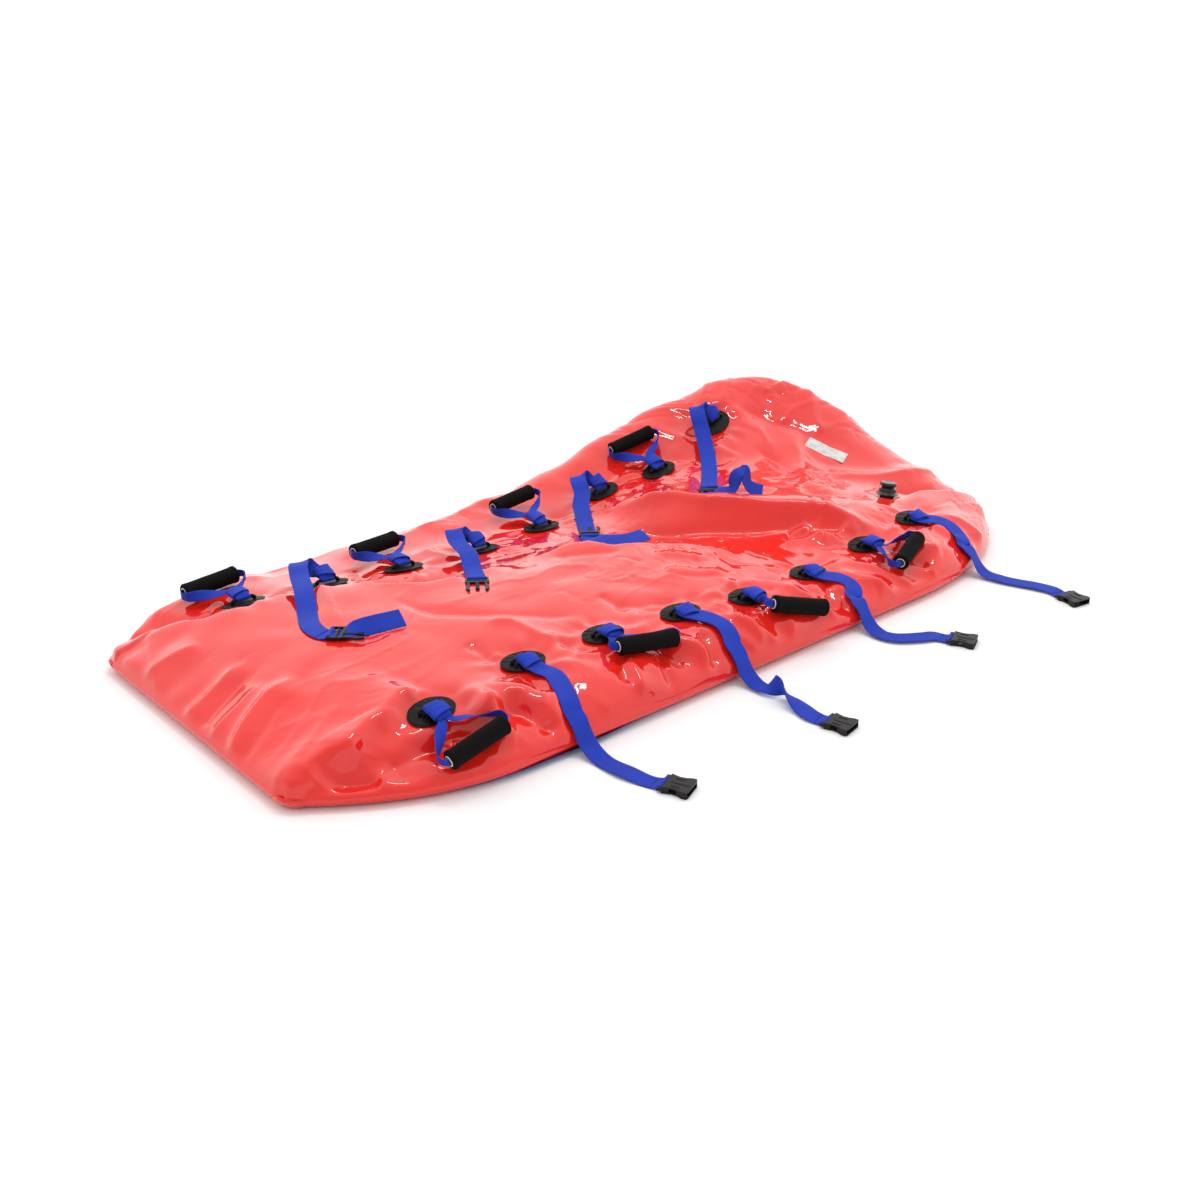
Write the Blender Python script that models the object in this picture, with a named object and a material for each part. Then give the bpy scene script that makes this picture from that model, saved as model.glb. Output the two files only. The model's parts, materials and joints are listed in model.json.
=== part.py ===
"""Vacuum mattress: a bead-filled bag with carry handles, patient straps and an air valve.

Metres, +Z up.  The origin is the middle of the flat underside, +X runs towards the head end
and +Y towards the far long side.  The mattress lies on the floor, soft, with its beads heaped
towards the head on the far side.
"""
import math

import bmesh
import bpy
import numpy as np
from mathutils import Matrix, Vector
from mathutils.bvhtree import BVHTree

# Plan of the bag
HALF_LENGTH = 1.000
HALF_WIDTH = 0.505
NEAR_HALF_WIDTH = 0.487
FOOT_HALF_WIDTH = 0.350
FOOT_CORNER_RADIUS = 0.045
FOOT_TAPER = 0.380
HEAD_ARC = 0.580
HEAD_ROUNDNESS_NEAR = 2.40
HEAD_ROUNDNESS_FAR = 3.0
SPINE_FROM_FOOT = 0.300
SPINE_FROM_HEAD = 0.440
FOOT_EDGE_STEPS = 3
FOOT_CORNER_STEPS = 2
FOOT_CORNER_SWEEP = 70.0
LONG_SIDE_STEPS = 11
HEAD_ARC_STEPS = 8

# Section of the bag, as distance in from the edge and height
SEAM_HEIGHT = 0.018
HEM_TOP = (0.003, 0.012)
HEM_FOOT = (0.009, 0.006)
BOTTOM_TURN = (0.019, 0.0015)
BOTTOM_FLAT = 0.034
SIDE_ROLL = 0.145
FOOT_ROLL = 0.330
FOOT_ROLL_AT = -0.800
FOOT_ROLL_BLEND = 0.050
SKIN_WALL = 0.0012
GAP = 0.0003
RING_SHARES = (0.008, 0.030, 0.075, 0.14, 0.23, 0.35, 0.50, 0.68, 0.86)

# How high the beads lie, foot to head, each row from the near side to the far side
FILL_STATIONS = (-1.0, -0.85, -0.65, -0.35, -0.10, 0.12, 0.32, 0.50, 0.70, 0.90, 1.0)
FILL_ACROSS = (-1.0, -0.66, -0.33, 0.0, 0.33, 0.66, 1.0)
FILL_HEIGHTS = (
    (0.075, 0.085, 0.090, 0.090, 0.085, 0.070, 0.060),
    (0.085, 0.100, 0.108, 0.108, 0.100, 0.078, 0.058),
    (0.095, 0.100, 0.113, 0.115, 0.106, 0.068, 0.050),
    (0.095, 0.098, 0.108, 0.105, 0.088, 0.062, 0.050),
    (0.095, 0.098, 0.103, 0.096, 0.076, 0.058, 0.060),
    (0.090, 0.092, 0.092, 0.086, 0.076, 0.070, 0.110),
    (0.085, 0.085, 0.098, 0.118, 0.110, 0.115, 0.200),
    (0.090, 0.090, 0.118, 0.115, 0.125, 0.170, 0.262),
    (0.085, 0.092, 0.086, 0.085, 0.140, 0.230, 0.310),
    (0.070, 0.075, 0.070, 0.095, 0.165, 0.242, 0.308),
    (0.060, 0.065, 0.070, 0.110, 0.170, 0.230, 0.288),
)

# Webbing
WEB_WIDTH = 0.038
WEB_THICKNESS = 0.0016
LOOP_WIDTH = 0.030
RUN_CLEARANCE = 0.0004
LAY_CLEARANCE = 0.0014

# Patches that hold the webbing
PATCH_HALF_LENGTH = 0.044
PATCH_HALF_WIDTH = 0.031
PATCH_THICKNESS = 0.0022
PATCH_STEPS = 10
PATCH_BAR_RADIUS = 0.0030
PATCH_BAR_SPAN = 0.034
PATCH_POST = 0.006
# Each patch's place from the foot end: along, as a share of the half length from the middle,
# and its distance in from its own long edge
NEAR_PORTS = (
    (-0.723, 0.1272), (-0.504, 0.1730), (-0.322, 0.1670), (-0.146, 0.1450),
    (0.012, 0.1200), (0.200, 0.1290), (0.408, 0.1500), (0.597, 0.1593),
)
FAR_PORTS = (
    (-0.739, 0.2189), (-0.570, 0.2720), (-0.403, 0.2930), (-0.212, 0.2980),
    (-0.016, 0.2660), (0.204, 0.2170), (0.353, 0.2550), (0.579, 0.2087),
)

# Carry handles
GRIP_LENGTH = 0.120
GRIP_RADIUS = 0.0175
GRIP_WAIST = 0.0168
GRIP_BORE = 0.0085
GRIP_STEPS = 12
GRIP_END_EASE = 0.001
HANDLE_WEB_MID = 0.024
NECK_LENGTH = 0.026
NECK_THICKNESS = 0.007
GRIP_END_ROOM = 0.0045

# Each near and far handle: middle of the grip from its patch bar, turn of the grip in plan
NEAR_GRIPS = (
    (0.014, -0.108, 1.0), (0.028, -0.090, -15.0), (0.047, -0.094, -20.0), (0.030, -0.092, 21.0),
)
FAR_GRIPS = (
    (-0.014, 0.108, 5.0), (0.008, 0.120, 10.0), (0.008, 0.116, 6.0), (0.007, 0.105, -9.0),
)
# How far the stiff webbing holds each grip over the skin
NEAR_HOVER = (0.002, 0.002, 0.009, 0.003)
FAR_HOVER = (0.017, 0.0125, 0.016, 0.004)

# Buckles
BAR_RADIUS = 0.0022
BUCKLE_WIDTH = 0.048
BUCKLE_ARM = 0.0035
FEMALE_LENGTH = 0.051
FEMALE_HEIGHT = 0.0125
FEMALE_START = 0.0052
MOUTH_DEPTH = 0.032
MOUTH_HEIGHT = 0.0078
MOUTH_WALL = 0.0026
WINDOW = (0.017, 0.030)
MALE_FRAME = 0.0260
MALE_HEIGHT = 0.0050
MALE_LENGTH = 0.066
TONGUE_WIDTH = 0.008

# Valve
VALVE_FROM_HEAD = 0.313
VALVE_FROM_EDGE = 0.2803
VALVE_RADIUS = 0.020
VALVE_FLANGE_RADIUS = 0.026
VALVE_FLANGE = 0.0018
VALVE_BODY_HEIGHT = 0.014
VALVE_BORE = 0.0130
VALVE_SPIGOT_RADIUS = 0.0165
VALVE_SPIGOT = 0.012
VALVE_STEPS = 18
KNOB_RADIUS = 0.0195
KNOB_WAIST = 0.0150
KNOB_HEIGHT = 0.0135
SEAL_RADIUS = 0.0022
FILTER_THICKNESS = 0.0020

# Label, bare
LABEL_FROM_HEAD = 0.233
LABEL_OFF_MIDDLE = 0.083
LABEL_SIZE = (0.100, 0.042)
LABEL_TURN = -68.0
LABEL_THICKNESS = 0.0006

# Patient straps on the near side, each as points from its patch bar in plan, then how far the
# buckle's bar lies from the edge of the bag and how far along the edge it has drifted
NEAR_STRAPS = (
    ((0.012, -0.070), (0.000, -0.115), -0.010, 0.174, 0.025, 23.0, 0.0),
    ((0.030, -0.056), (0.034, -0.092), 0.022, 0.211, -0.004, 12.0, 180.0),
    ((0.034, -0.052), (0.042, -0.084), 0.022, 0.152, 0.087, 25.0, 0.0),
    ((0.038, -0.052), (0.036, -0.100), 0.024, 0.205, 0.000, -10.0, 0.0),
)
# How a near strap drops past the edge: distance outward, height as a share of the seam's
EDGE_DROP = ((-0.014, 3.10), (-0.003, 2.50), (0.006, 1.70), (0.019, 0.85), (0.040, 0.26))
FLOOR_GAP = 0.0004
# Along a near strap: the first touch of the floor past the edge, the last straight run to the
# buckle's bar, where it starts to rise, by how much, and how much it is wider than its loop
LANDING = 0.066
LAST_RUN = 0.030
RISE_FROM = 0.017
FIRST_RISE = 0.0008
LOOP_EASE = 0.001

# Patient straps on the far side, from each patch bar: the fold behind the patch as x, y and
# height, then the way over the top of the bag to the buckle's bar
FAR_FOLD = (
    (-0.004, 0.022, 0.010), (-0.018, 0.035, 0.022), (-0.036, 0.032, 0.037),
    (-0.055, 0.010, 0.038), (-0.070, -0.018, 0.027),
)
FAR_STRAPS = (
    ((-0.103, -0.092), (-0.132, -0.150), (-0.152, -0.195), (-0.162, -0.228), (-0.150, -0.262)),
    ((-0.088, -0.082), (-0.114, -0.132), (-0.148, -0.192)),
    ((-0.102, -0.048), (-0.150, -0.118), (-0.211, -0.205)),
    ((-0.099, -0.074), (-0.150, -0.135), (-0.195, -0.182), (-0.235, -0.220)),
)
# Which way each male buckle points in plan and the lie of its free tail, ahead, to the left
# and over the skin, in the frame of the strap's end
MALE_HEADINGS = (-45.0, -125.0, 49.0, -133.0)
MALE_TAILS = (
    ((0.020, 0.000, 0.0), (0.050, 0.010, 0.0), (0.088, 0.034, 0.0), (0.120, 0.062, 0.0)),
    (),
    ((0.020, 0.004, 0.0), (0.044, 0.020, 0.002), (0.056, 0.055, 0.004), (0.040, 0.090, 0.003),
     (0.012, 0.122, 0.001)),
    ((0.016, 0.002, 0.0), (0.036, 0.016, 0.0), (0.054, 0.042, 0.002), (0.058, 0.062, 0.046),
     (0.057, 0.074, 0.050), (0.055, 0.088, 0.016), (0.050, 0.118, 0.001)),
)
# How far a far strap still stands off the skin after its fold
FOLD_LIFT = 0.020
# Length of the sewn lap before each male buckle
LAP_LENGTHS = (0.0, 0.080, 0.0, 0.0)
# Webbing rings round their bars, and the facet that a free tail leaves from
RING_SIDES = 10
TAIL_FACET = 7
BAR_SIDES = 8
SIDE_SAMPLES = (-1.0, -0.67, -0.33, 0.0, 0.33, 0.67, 1.0)


def unit(vector):
    """The same direction at length one."""
    return vector / max(np.linalg.norm(vector), 1e-12)


def remove_old_objects():
    """Start from an empty scene."""
    for item in list(bpy.data.objects):
        bpy.data.objects.remove(item, do_unlink=True)


def make_material(name, colour, roughness, coat=0.0):
    """One Principled material with its colour, roughness and metallic value."""
    made = bpy.data.materials.new(name)
    made.use_nodes = True
    shader = made.node_tree.nodes["Principled BSDF"]
    shader.inputs["Base Color"].default_value = (*colour, 1.0)
    shader.inputs["Roughness"].default_value = roughness
    shader.inputs["Metallic"].default_value = 0.0
    shader.inputs["Coat Weight"].default_value = coat
    made.diffuse_color = (*colour, 1.0)
    return made


def make_object(name, shape, material, pivot=(0.0, 0.0, 0.0), sharp=35.0):
    """An object from points and faces, with its origin at the pivot and its faces outward."""
    points, faces = shape
    mesh = bpy.data.meshes.new(name)
    mesh.from_pydata((np.array(points) - np.array(pivot)).tolist(), [], faces)
    edit = bmesh.new()
    edit.from_mesh(mesh)
    bmesh.ops.recalc_face_normals(edit, faces=edit.faces)
    edit.to_mesh(mesh)
    edit.free()
    mesh.shade_smooth()
    mesh.set_sharp_from_angle(angle=math.radians(sharp))
    made = bpy.data.objects.new(name, mesh)
    made.location = pivot
    bpy.context.collection.objects.link(made)
    if material:
        mesh.materials.append(material)
    return made


def joined(base, others, operation="UNION"):
    """The base shape with the other shapes added or cut away, one after another."""
    for other in others:
        first = make_object("base", base, None)
        second = make_object("tool", other, None)
        change = first.modifiers.new("change", "BOOLEAN")
        change.operation = operation
        change.solver = "EXACT"
        change.object = second
        graph = bpy.context.evaluated_depsgraph_get()
        result = first.evaluated_get(graph).to_mesh()
        base = ([tuple(v.co) for v in result.vertices], [tuple(p.vertices) for p in result.polygons])
        bpy.data.objects.remove(first, do_unlink=True)
        bpy.data.objects.remove(second, do_unlink=True)
    return base


def moved(shape, matrix):
    """The shape's points carried by a matrix."""
    return [tuple(matrix @ Vector(p)) for p in shape[0]], shape[1]


def prism(outline, low, high):
    """A closed outline in plan, drawn up from one height to another."""
    count = len(outline)
    points = [(x, y, low) for x, y in outline] + [(x, y, high) for x, y in outline]
    faces = [tuple(range(count))[::-1], tuple(range(count, 2 * count))]
    for i in range(count):
        j = (i + 1) % count
        faces.append((i, j, j + count, i + count))
    return points, faces


def box(x_range, y_range, z_range):
    """A box between the ends of three ranges."""
    (x0, x1), (y0, y1) = x_range, y_range
    return prism([(x0, y0), (x1, y0), (x1, y1), (x0, y1)], *z_range)


def turned(profile, steps):
    """A closed profile of radius and height, turned about Z."""
    points = []
    rings = []
    for radius, height in profile:
        if radius == 0.0:
            rings.append([len(points)] * steps)
            points.append((0.0, 0.0, height))
            continue
        rings.append(list(range(len(points), len(points) + steps)))
        for k in range(steps):
            angle = 2.0 * math.pi * k / steps
            points.append((radius * math.cos(angle), radius * math.sin(angle), height))
    faces = []
    for i, ring in enumerate(rings):
        after = rings[(i + 1) % len(rings)]
        for k in range(steps):
            corner = [ring[k], ring[(k + 1) % steps], after[(k + 1) % steps], after[k]]
            face = tuple(dict.fromkeys(corner))
            if len(face) > 2:
                faces.append(face)
    return points, faces


def rod(radius, half_length, sides):
    """A round bar along X."""
    profile = [(0.0, -half_length), (radius, -half_length), (radius, half_length), (0.0, half_length)]
    points, faces = turned(profile, sides)
    faces = [face for face in faces if set(face) != {0, len(points) - 1}]
    return moved((points, faces), Matrix.Rotation(math.radians(90.0), 4, "Y"))


# Plan of the bag


def side_outline(roundness, half_width):
    """Half of the edge from the middle of the foot to the tip of the head, one long side."""
    corner = FOOT_HALF_WIDTH - FOOT_CORNER_RADIUS
    points = [(-HALF_LENGTH, corner * k / FOOT_EDGE_STEPS) for k in range(FOOT_EDGE_STEPS + 1)]
    for k in range(1, FOOT_CORNER_STEPS + 1):
        angle = math.radians(FOOT_CORNER_SWEEP) * k / FOOT_CORNER_STEPS
        points.append((
            -HALF_LENGTH + FOOT_CORNER_RADIUS * (1.0 - math.cos(angle)),
            corner + FOOT_CORNER_RADIUS * math.sin(angle),
        ))
    start, width = points[-1]
    taper_end = FOOT_TAPER - HALF_LENGTH
    arc_start = HALF_LENGTH - HEAD_ARC
    for k in range(1, LONG_SIDE_STEPS + 1):
        x = start + (arc_start - start) * k / LONG_SIDE_STEPS
        taper = min(max((taper_end - x) / (taper_end - start), 0.0), 1.0)
        points.append((x, half_width - (half_width - width) * taper ** 2))
    for k in range(1, HEAD_ARC_STEPS + 1):
        angle = 0.5 * math.pi * k / HEAD_ARC_STEPS
        points.append((
            arc_start + HEAD_ARC * math.sin(angle) ** (2.0 / roundness),
            half_width * max(math.cos(angle), 0.0) ** (2.0 / roundness) if k < HEAD_ARC_STEPS else 0.0,
        ))
    return np.array(points)


FAR_SIDE = side_outline(HEAD_ROUNDNESS_FAR, HALF_WIDTH)
NEAR_SIDE = side_outline(HEAD_ROUNDNESS_NEAR, NEAR_HALF_WIDTH) * (1.0, -1.0)
OUTLINE = np.vstack([FAR_SIDE, NEAR_SIDE[-2:0:-1]])
COUNT = len(OUTLINE)


def spine_points():
    """For each point of the outline, the nearest point of the bag's middle line."""
    along = np.clip(OUTLINE[:, 0], SPINE_FROM_FOOT - HALF_LENGTH, HALF_LENGTH - SPINE_FROM_HEAD)
    return np.stack([along, np.zeros(COUNT)], 1)


def place_in_plan(x, inset, side):
    """Point at a place along the bag and a distance in from its near or far edge."""
    edge = NEAR_SIDE if side == "near" else FAR_SIDE
    half_width = np.interp(x, edge[:, 0], np.abs(edge[:, 1]))
    return x, (half_width - inset) * (-1.0 if side == "near" else 1.0)


def inward_directions():
    """At each point of the outline, the direction in plan that points into the bag."""
    along = np.roll(OUTLINE, -1, 0) - np.roll(OUTLINE, 1, 0)
    along /= np.linalg.norm(along, axis=1)[:, None]
    turn = np.stack([along[:, 1], -along[:, 0]], 1)
    facing = np.sign(((spine_points() - OUTLINE) * turn).sum(1))
    return turn * facing[:, None]


INWARD = inward_directions()


def edge_distance(x, y):
    """How far a point lies inside the outline, below zero where it lies outside."""
    here = np.array([x, y])
    start = OUTLINE
    along = np.roll(OUTLINE, -1, 0) - start
    share = np.clip(((here - start) * along).sum(1) / (along ** 2).sum(1), 0.0, 1.0)
    nearest = np.hypot(*(here - start - share[:, None] * along).T).min()
    end = start + along
    crosses = (start[:, 1] > y) != (end[:, 1] > y)
    with np.errstate(divide="ignore", invalid="ignore"):
        at = start[:, 0] + along[:, 0] * (y - start[:, 1]) / along[:, 1]
    inside = np.count_nonzero(crosses & (x < at)) % 2 == 1
    return nearest if inside else -nearest


def spline_weights(t):
    """Catmull-Rom weights of four neighbours at share t of the middle span."""
    return (
        0.5 * (-t + 2.0 * t ** 2 - t ** 3),
        0.5 * (2.0 - 5.0 * t ** 2 + 3.0 * t ** 3),
        0.5 * (t + 4.0 * t ** 2 - 3.0 * t ** 3),
        0.5 * (-t ** 2 + t ** 3),
    )


def spot(knots, value):
    """The span of a list of knots that holds a value, and the share of the way along it."""
    value = min(max(value, knots[0]), knots[-1])
    index = min(max(int(np.searchsorted(knots, value)) - 1, 0), len(knots) - 2)
    return index, (value - knots[index]) / (knots[index + 1] - knots[index])


def bead_height(x, y):
    """Height that the heaped beads give the middle of the top skin."""
    row, t = spot(FILL_STATIONS, x / HALF_LENGTH)
    column, u = spot(FILL_ACROSS, y / HALF_WIDTH)
    height = 0.0
    for i, a in enumerate(spline_weights(t)):
        line = FILL_HEIGHTS[min(max(row + i - 1, 0), len(FILL_STATIONS) - 1)]
        for j, b in enumerate(spline_weights(u)):
            height += a * b * line[min(max(column + j - 1, 0), len(FILL_ACROSS) - 1)]
    return height


def top_height(x, y):
    """Height of the top skin: the beads' height, rolled down to the seam at the edge."""
    inset = edge_distance(x, y)
    foot = 1.0 / (1.0 + math.exp((x / HALF_LENGTH - FOOT_ROLL_AT) / FOOT_ROLL_BLEND))
    roll = SIDE_ROLL + (FOOT_ROLL - SIDE_ROLL) * foot
    share = min(max(inset / roll, 0.0), 1.0)
    return SEAM_HEIGHT + (bead_height(x, y) - SEAM_HEIGHT) * math.sqrt(1.0 - (1.0 - share) ** 2)


# The bag: top skin, bottom skin and beads


def hem_profile(offset):
    """Hem of the top skin as distance in and height, set inward by an offset."""
    points = np.array([(0.0, SEAM_HEIGHT), HEM_TOP, HEM_FOOT, BOTTOM_TURN])
    along = np.zeros_like(points)
    along[1:3] = points[2:] - points[:2]
    result = [points[0] + (offset, 0.0)]
    for point, way in zip(points[1:3], along[1:3]):
        way = unit(way)
        result.append(point + offset * np.array([-way[1], way[0]]))
    return result


def edge_ring(inset, height):
    """The outline set in by a distance and laid at a height."""
    plan = OUTLINE + INWARD * inset
    return np.column_stack([plan, np.full(COUNT, height)])


def crown_rings():
    """Rings of the top skin from just inside the seam to the spine."""
    middle = spine_points()
    partner = (-np.arange(COUNT)) % COUNT
    far = np.arange(COUNT) < len(FAR_SIDE)
    middle[~far] = middle[partner[~far]]
    rings = []
    for share in RING_SHARES:
        plan = OUTLINE + (middle - OUTLINE) * share
        rings.append(np.array([(x, y, top_height(x, y)) for x, y in plan]))
    rings.append(np.array([(x, y, top_height(x, y)) for x, y in middle]))
    return rings


def ring_faces(rings):
    """Faces between rings of points, with equal points of the last ring made one."""
    points = []
    index = []
    for ring in rings[:-1]:
        index.append([len(points) + k for k in range(COUNT)])
        points.extend(map(tuple, ring))
    seen = {}
    last = []
    for point in map(tuple, rings[-1]):
        key = tuple(round(c, 6) for c in point)
        if key not in seen:
            seen[key] = len(points)
            points.append(point)
        last.append(seen[key])
    index.append(last)
    faces = []
    for low, high in zip(index, index[1:]):
        for k in range(COUNT):
            j = (k + 1) % COUNT
            face = tuple(dict.fromkeys((low[k], low[j], high[j], high[k])))
            if len(face) == 3:
                faces.append(face)
            else:
                faces.extend([(face[0], face[1], face[2]), (face[0], face[2], face[3])])
    return points, faces


def point_normals(points, faces):
    """Upward normal at each point, from the faces round it."""
    points = np.array(points)
    normals = np.zeros_like(points)
    for face in faces:
        a, b, c = points[list(face[:3])]
        normal = np.cross(b - a, c - a)
        normal = unit(normal)
        for k in face:
            normals[k] += normal
    normals /= np.linalg.norm(normals, axis=1)[:, None]
    if normals[-1][2] < 0.0:
        normals = -normals
    return normals


def shell(outer, inner, faces, rims):
    """Two like sheets of points closed into one wall along pairs of rim points."""
    count = len(outer)
    points = list(map(tuple, outer)) + list(map(tuple, inner))
    joined_faces = list(faces) + [tuple(k + count for k in face[::-1]) for face in faces]
    for a, b in rims:
        joined_faces.append((a, b, b + count, a + count))
    return points, joined_faces


def set_in(profile_offset, crown_offset, crown, normals):
    """Rings of the bag set in by offsets: the hem's from its profile, the crown's by normals."""
    seam, hem_top, hem_foot = hem_profile(profile_offset)
    rings = [edge_ring(*hem_foot), edge_ring(*hem_top), edge_ring(*hem_profile(crown_offset)[0])]
    count = 0
    for ring in crown:
        rings.append(ring - normals[count:count + COUNT] * crown_offset)
        count += COUNT
    return rings


def crown_normals(crown):
    """Normals of the crown's rings, one for each point, the seam's ring left out."""
    rings = [edge_ring(0.0, SEAM_HEIGHT)] + crown
    points, faces = ring_faces(rings)
    table = point_normals(points, faces)
    lookup = {tuple(round(c, 6) for c in p): n for p, n in zip(points, table)}
    return np.array([lookup[tuple(round(c, 6) for c in p)] for ring in crown for p in map(tuple, ring)])


def make_bag():
    """Top skin, bottom skin and the bead filling as point and face lists."""
    crown = crown_rings()
    normals = crown_normals(crown)
    rim = [(k, (k + 1) % COUNT) for k in range(COUNT)]
    outer, faces = ring_faces(set_in(0.0, 0.0, crown, normals))
    inner, _ = ring_faces(set_in(SKIN_WALL, SKIN_WALL, crown, normals))
    top = shell(outer, inner, faces, rim)

    wall = SKIN_WALL + GAP

    def base_rings(offset, floor):
        hem_top, hem_foot = hem_profile(wall + offset)[1:]
        turn = edge_ring(BOTTOM_TURN[0], BOTTOM_TURN[1] + floor)
        return [edge_ring(*hem_top), edge_ring(*hem_foot), turn, edge_ring(BOTTOM_FLAT, floor)]

    flat_outer = base_rings(0.0, 0.0)
    flat_inner = base_rings(SKIN_WALL, SKIN_WALL)
    middle = np.column_stack([crown[-1][:, :2], np.zeros(COUNT)])
    under, under_faces = ring_faces(flat_outer + [middle])
    over, _ = ring_faces(flat_inner + [middle + (0.0, 0.0, SKIN_WALL)])
    bottom = shell(under, over, under_faces, rim)

    beads_top = set_in(SKIN_WALL + wall + GAP, wall, crown, normals)
    beads_low = [
        edge_ring(BOTTOM_FLAT, wall), edge_ring(BOTTOM_TURN[0], BOTTOM_TURN[1] + wall),
    ]
    upper, upper_faces = ring_faces(beads_low + beads_top)
    floor_points, floor_faces = ring_faces([beads_low[0], middle + (0.0, 0.0, wall)])
    count = len(upper)
    shift = {k: k if k < COUNT else k - COUNT + count for k in range(len(floor_points))}
    beads = (
        upper + floor_points[COUNT:],
        upper_faces + [tuple(shift[k] for k in face) for face in floor_faces],
    )
    return (outer, faces), top, bottom, beads


# Laying things on the bag


def tree_of(shapes):
    """One search tree over the faces of several shapes."""
    points, faces = [], []
    for shape_points, shape_faces in shapes:
        start = len(points)
        points.extend(Vector(p) for p in shape_points)
        faces.extend([k + start for k in face] for face in shape_faces)
    return BVHTree.FromPolygons(points, faces)


def ground(tree, x, y):
    """Height of what lies below a point in plan, and how upright its surface is."""
    hit, normal, _, _ = tree.ray_cast(Vector((x, y, 2.0)), Vector((0.0, 0.0, -1.0)))
    if hit is None or hit.z < 0.0:
        return 0.0, 1.0
    return hit.z, max(abs(normal.z), 0.35)


def settle(points, faces, tree, clearance):
    """Raise a sheet's points until it clears the surface below it."""
    points = [list(p) for p in points]
    shares = [(a / 4.0, b / 4.0) for a in range(5) for b in range(5 - a)]
    for _ in range(12):
        moved_any = False
        for face in faces:
            a, b, c = (np.array(points[k]) for k in face[:3])
            for u, v in shares:
                here = a + (b - a) * u + (c - a) * v
                height, upright = ground(tree, here[0], here[1])
                short = height + clearance / upright - here[2]
                if short > 1e-6:
                    moved_any = True
                    for k in face[:3]:
                        points[k][2] += short
                    a, b, c = (np.array(points[k]) for k in face[:3])
        if not moved_any:
            break
    return [tuple(p) for p in points]


def plate(tree, rows, faces, thickness):
    """A thin sheet settled on the bag and given its thickness, with the faces of its top."""
    low = settle([(x, y, ground(tree, x, y)[0]) for x, y in rows], faces, tree, GAP)
    normals = point_normals(low, faces)
    if normals[0][2] < 0.0:
        normals = -normals
    high = [tuple(np.array(p) + n * thickness) for p, n in zip(low, normals)]
    edges = {}
    for face in faces:
        for a, b in zip(face, face[1:] + face[:1]):
            edges[frozenset((a, b))] = edges.get(frozenset((a, b)), 0) + 1
    rims = [
        (a, b) for face in faces for a, b in zip(face, face[1:] + face[:1])
        if edges[frozenset((a, b))] == 1
    ]
    return shell(low, high, faces, rims), (high, faces)


def rest_frame(tree, x, y, heading, reach, half_width, depth):
    """Frame of a rigid piece laid on the bag: X across, Y the way it points, Z up off the skin."""
    ahead = np.array([math.cos(heading), math.sin(heading)])
    right = np.array([ahead[1], -ahead[0]])
    rows, heights = [], []
    for f in np.linspace(reach[0], reach[1], 6):
        for s in np.linspace(-half_width, half_width, 5):
            here = np.array([x, y]) + ahead * f + right * s
            rows.append((1.0, f, s))
            heights.append(ground(tree, *here)[0])
    rows, heights = np.array(rows), np.array(heights)
    level, rise, roll = np.linalg.lstsq(rows, heights, rcond=None)[0]
    level += (heights - rows @ np.array([level, rise, roll])).max()
    side = unit(np.array([*right, roll]))
    up = unit(np.cross(side, np.array([*ahead, rise])))
    forward = np.cross(up, side)
    place = np.array([x, y, level]) + up * depth
    frame = Matrix.Identity(4)
    for row in range(3):
        frame[row][0], frame[row][1], frame[row][2] = side[row], forward[row], up[row]
        frame[row][3] = place[row]
    return frame


def column(frame, index):
    """One axis of a frame, or its place for index 3."""
    return np.array([frame[row][index] for row in range(3)])


def make_placed(name, shape, material, frame, sharp=35.0):
    """An object whose origin and axes are a frame, from a shape in world coordinates."""
    made = make_object(name, moved(shape, frame.inverted()), material, sharp=sharp)
    made.matrix_world = frame
    return made


# Webbing


def add_ring(points, faces, centre, axis, toward, half_width, inner, outer, open_facets):
    """A ring of webbing round a bar, with some of its outer facets left open for ribbons."""
    across = np.cross(axis, toward)
    index = []
    for k in range(RING_SIDES):
        angle = 2.0 * math.pi * (k + 0.5) / RING_SIDES
        way = toward * math.cos(angle) + across * math.sin(angle)
        row = []
        for radius in (outer, inner):
            for side in (-1.0, 1.0):
                row.append(len(points))
                points.append(tuple(centre + way * radius + axis * half_width * side))
        index.append(row)
    quads = {}
    for k in range(RING_SIDES):
        low, high = index[k - 1], index[k]
        if k in open_facets:
            quads[k] = (low[0], low[1], high[1], high[0])
        else:
            faces.append((low[0], low[1], high[1], high[0]))
        faces.append((low[2], high[2], high[3], low[3]))
        faces.append((low[0], high[0], high[2], low[2]))
        faces.append((low[1], low[3], high[3], high[1]))
    return quads


def add_ribbon(points, faces, stations, first=None, last=None):
    """A flat band through stations of centre, side direction, half width and thickness."""
    centres = [np.array(s[0]) for s in stations]
    quads = [first] if first else []
    for k, (centre, side, half_width, thickness) in enumerate(stations):
        way = centres[min(k + 1, len(centres) - 1)] - centres[max(k - 1, 0)]
        if k == 0 and first:
            way = centres[1] - np.mean([points[i] for i in first], axis=0)
        side = unit(np.array(side) - unit(way) * np.dot(side, unit(way)))
        up = unit(np.cross(side, way))
        centre = centres[k]
        quads.append(tuple(range(len(points), len(points) + 4)))
        for s, h in ((-1.0, -0.5), (1.0, -0.5), (1.0, 0.5), (-1.0, 0.5)):
            points.append(tuple(centre + side * half_width * s + up * thickness * h))
    if last:
        quads.append((last[3], last[2], last[1], last[0]))
    for low, high in zip(quads, quads[1:]):
        faces.extend([(low[0], low[1], high[1]), (low[0], high[1], high[0])])
        faces.extend([(low[1], low[2], high[2]), (low[1], high[2], high[1])])
        faces.extend([(low[2], low[3], high[2]), (low[3], high[3], high[2])])
        faces.extend([(low[3], low[0], high[3]), (low[0], high[0], high[3])])
    if not first:
        faces.append(quads[0][::-1])
    if not last:
        faces.append(quads[-1])


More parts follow.
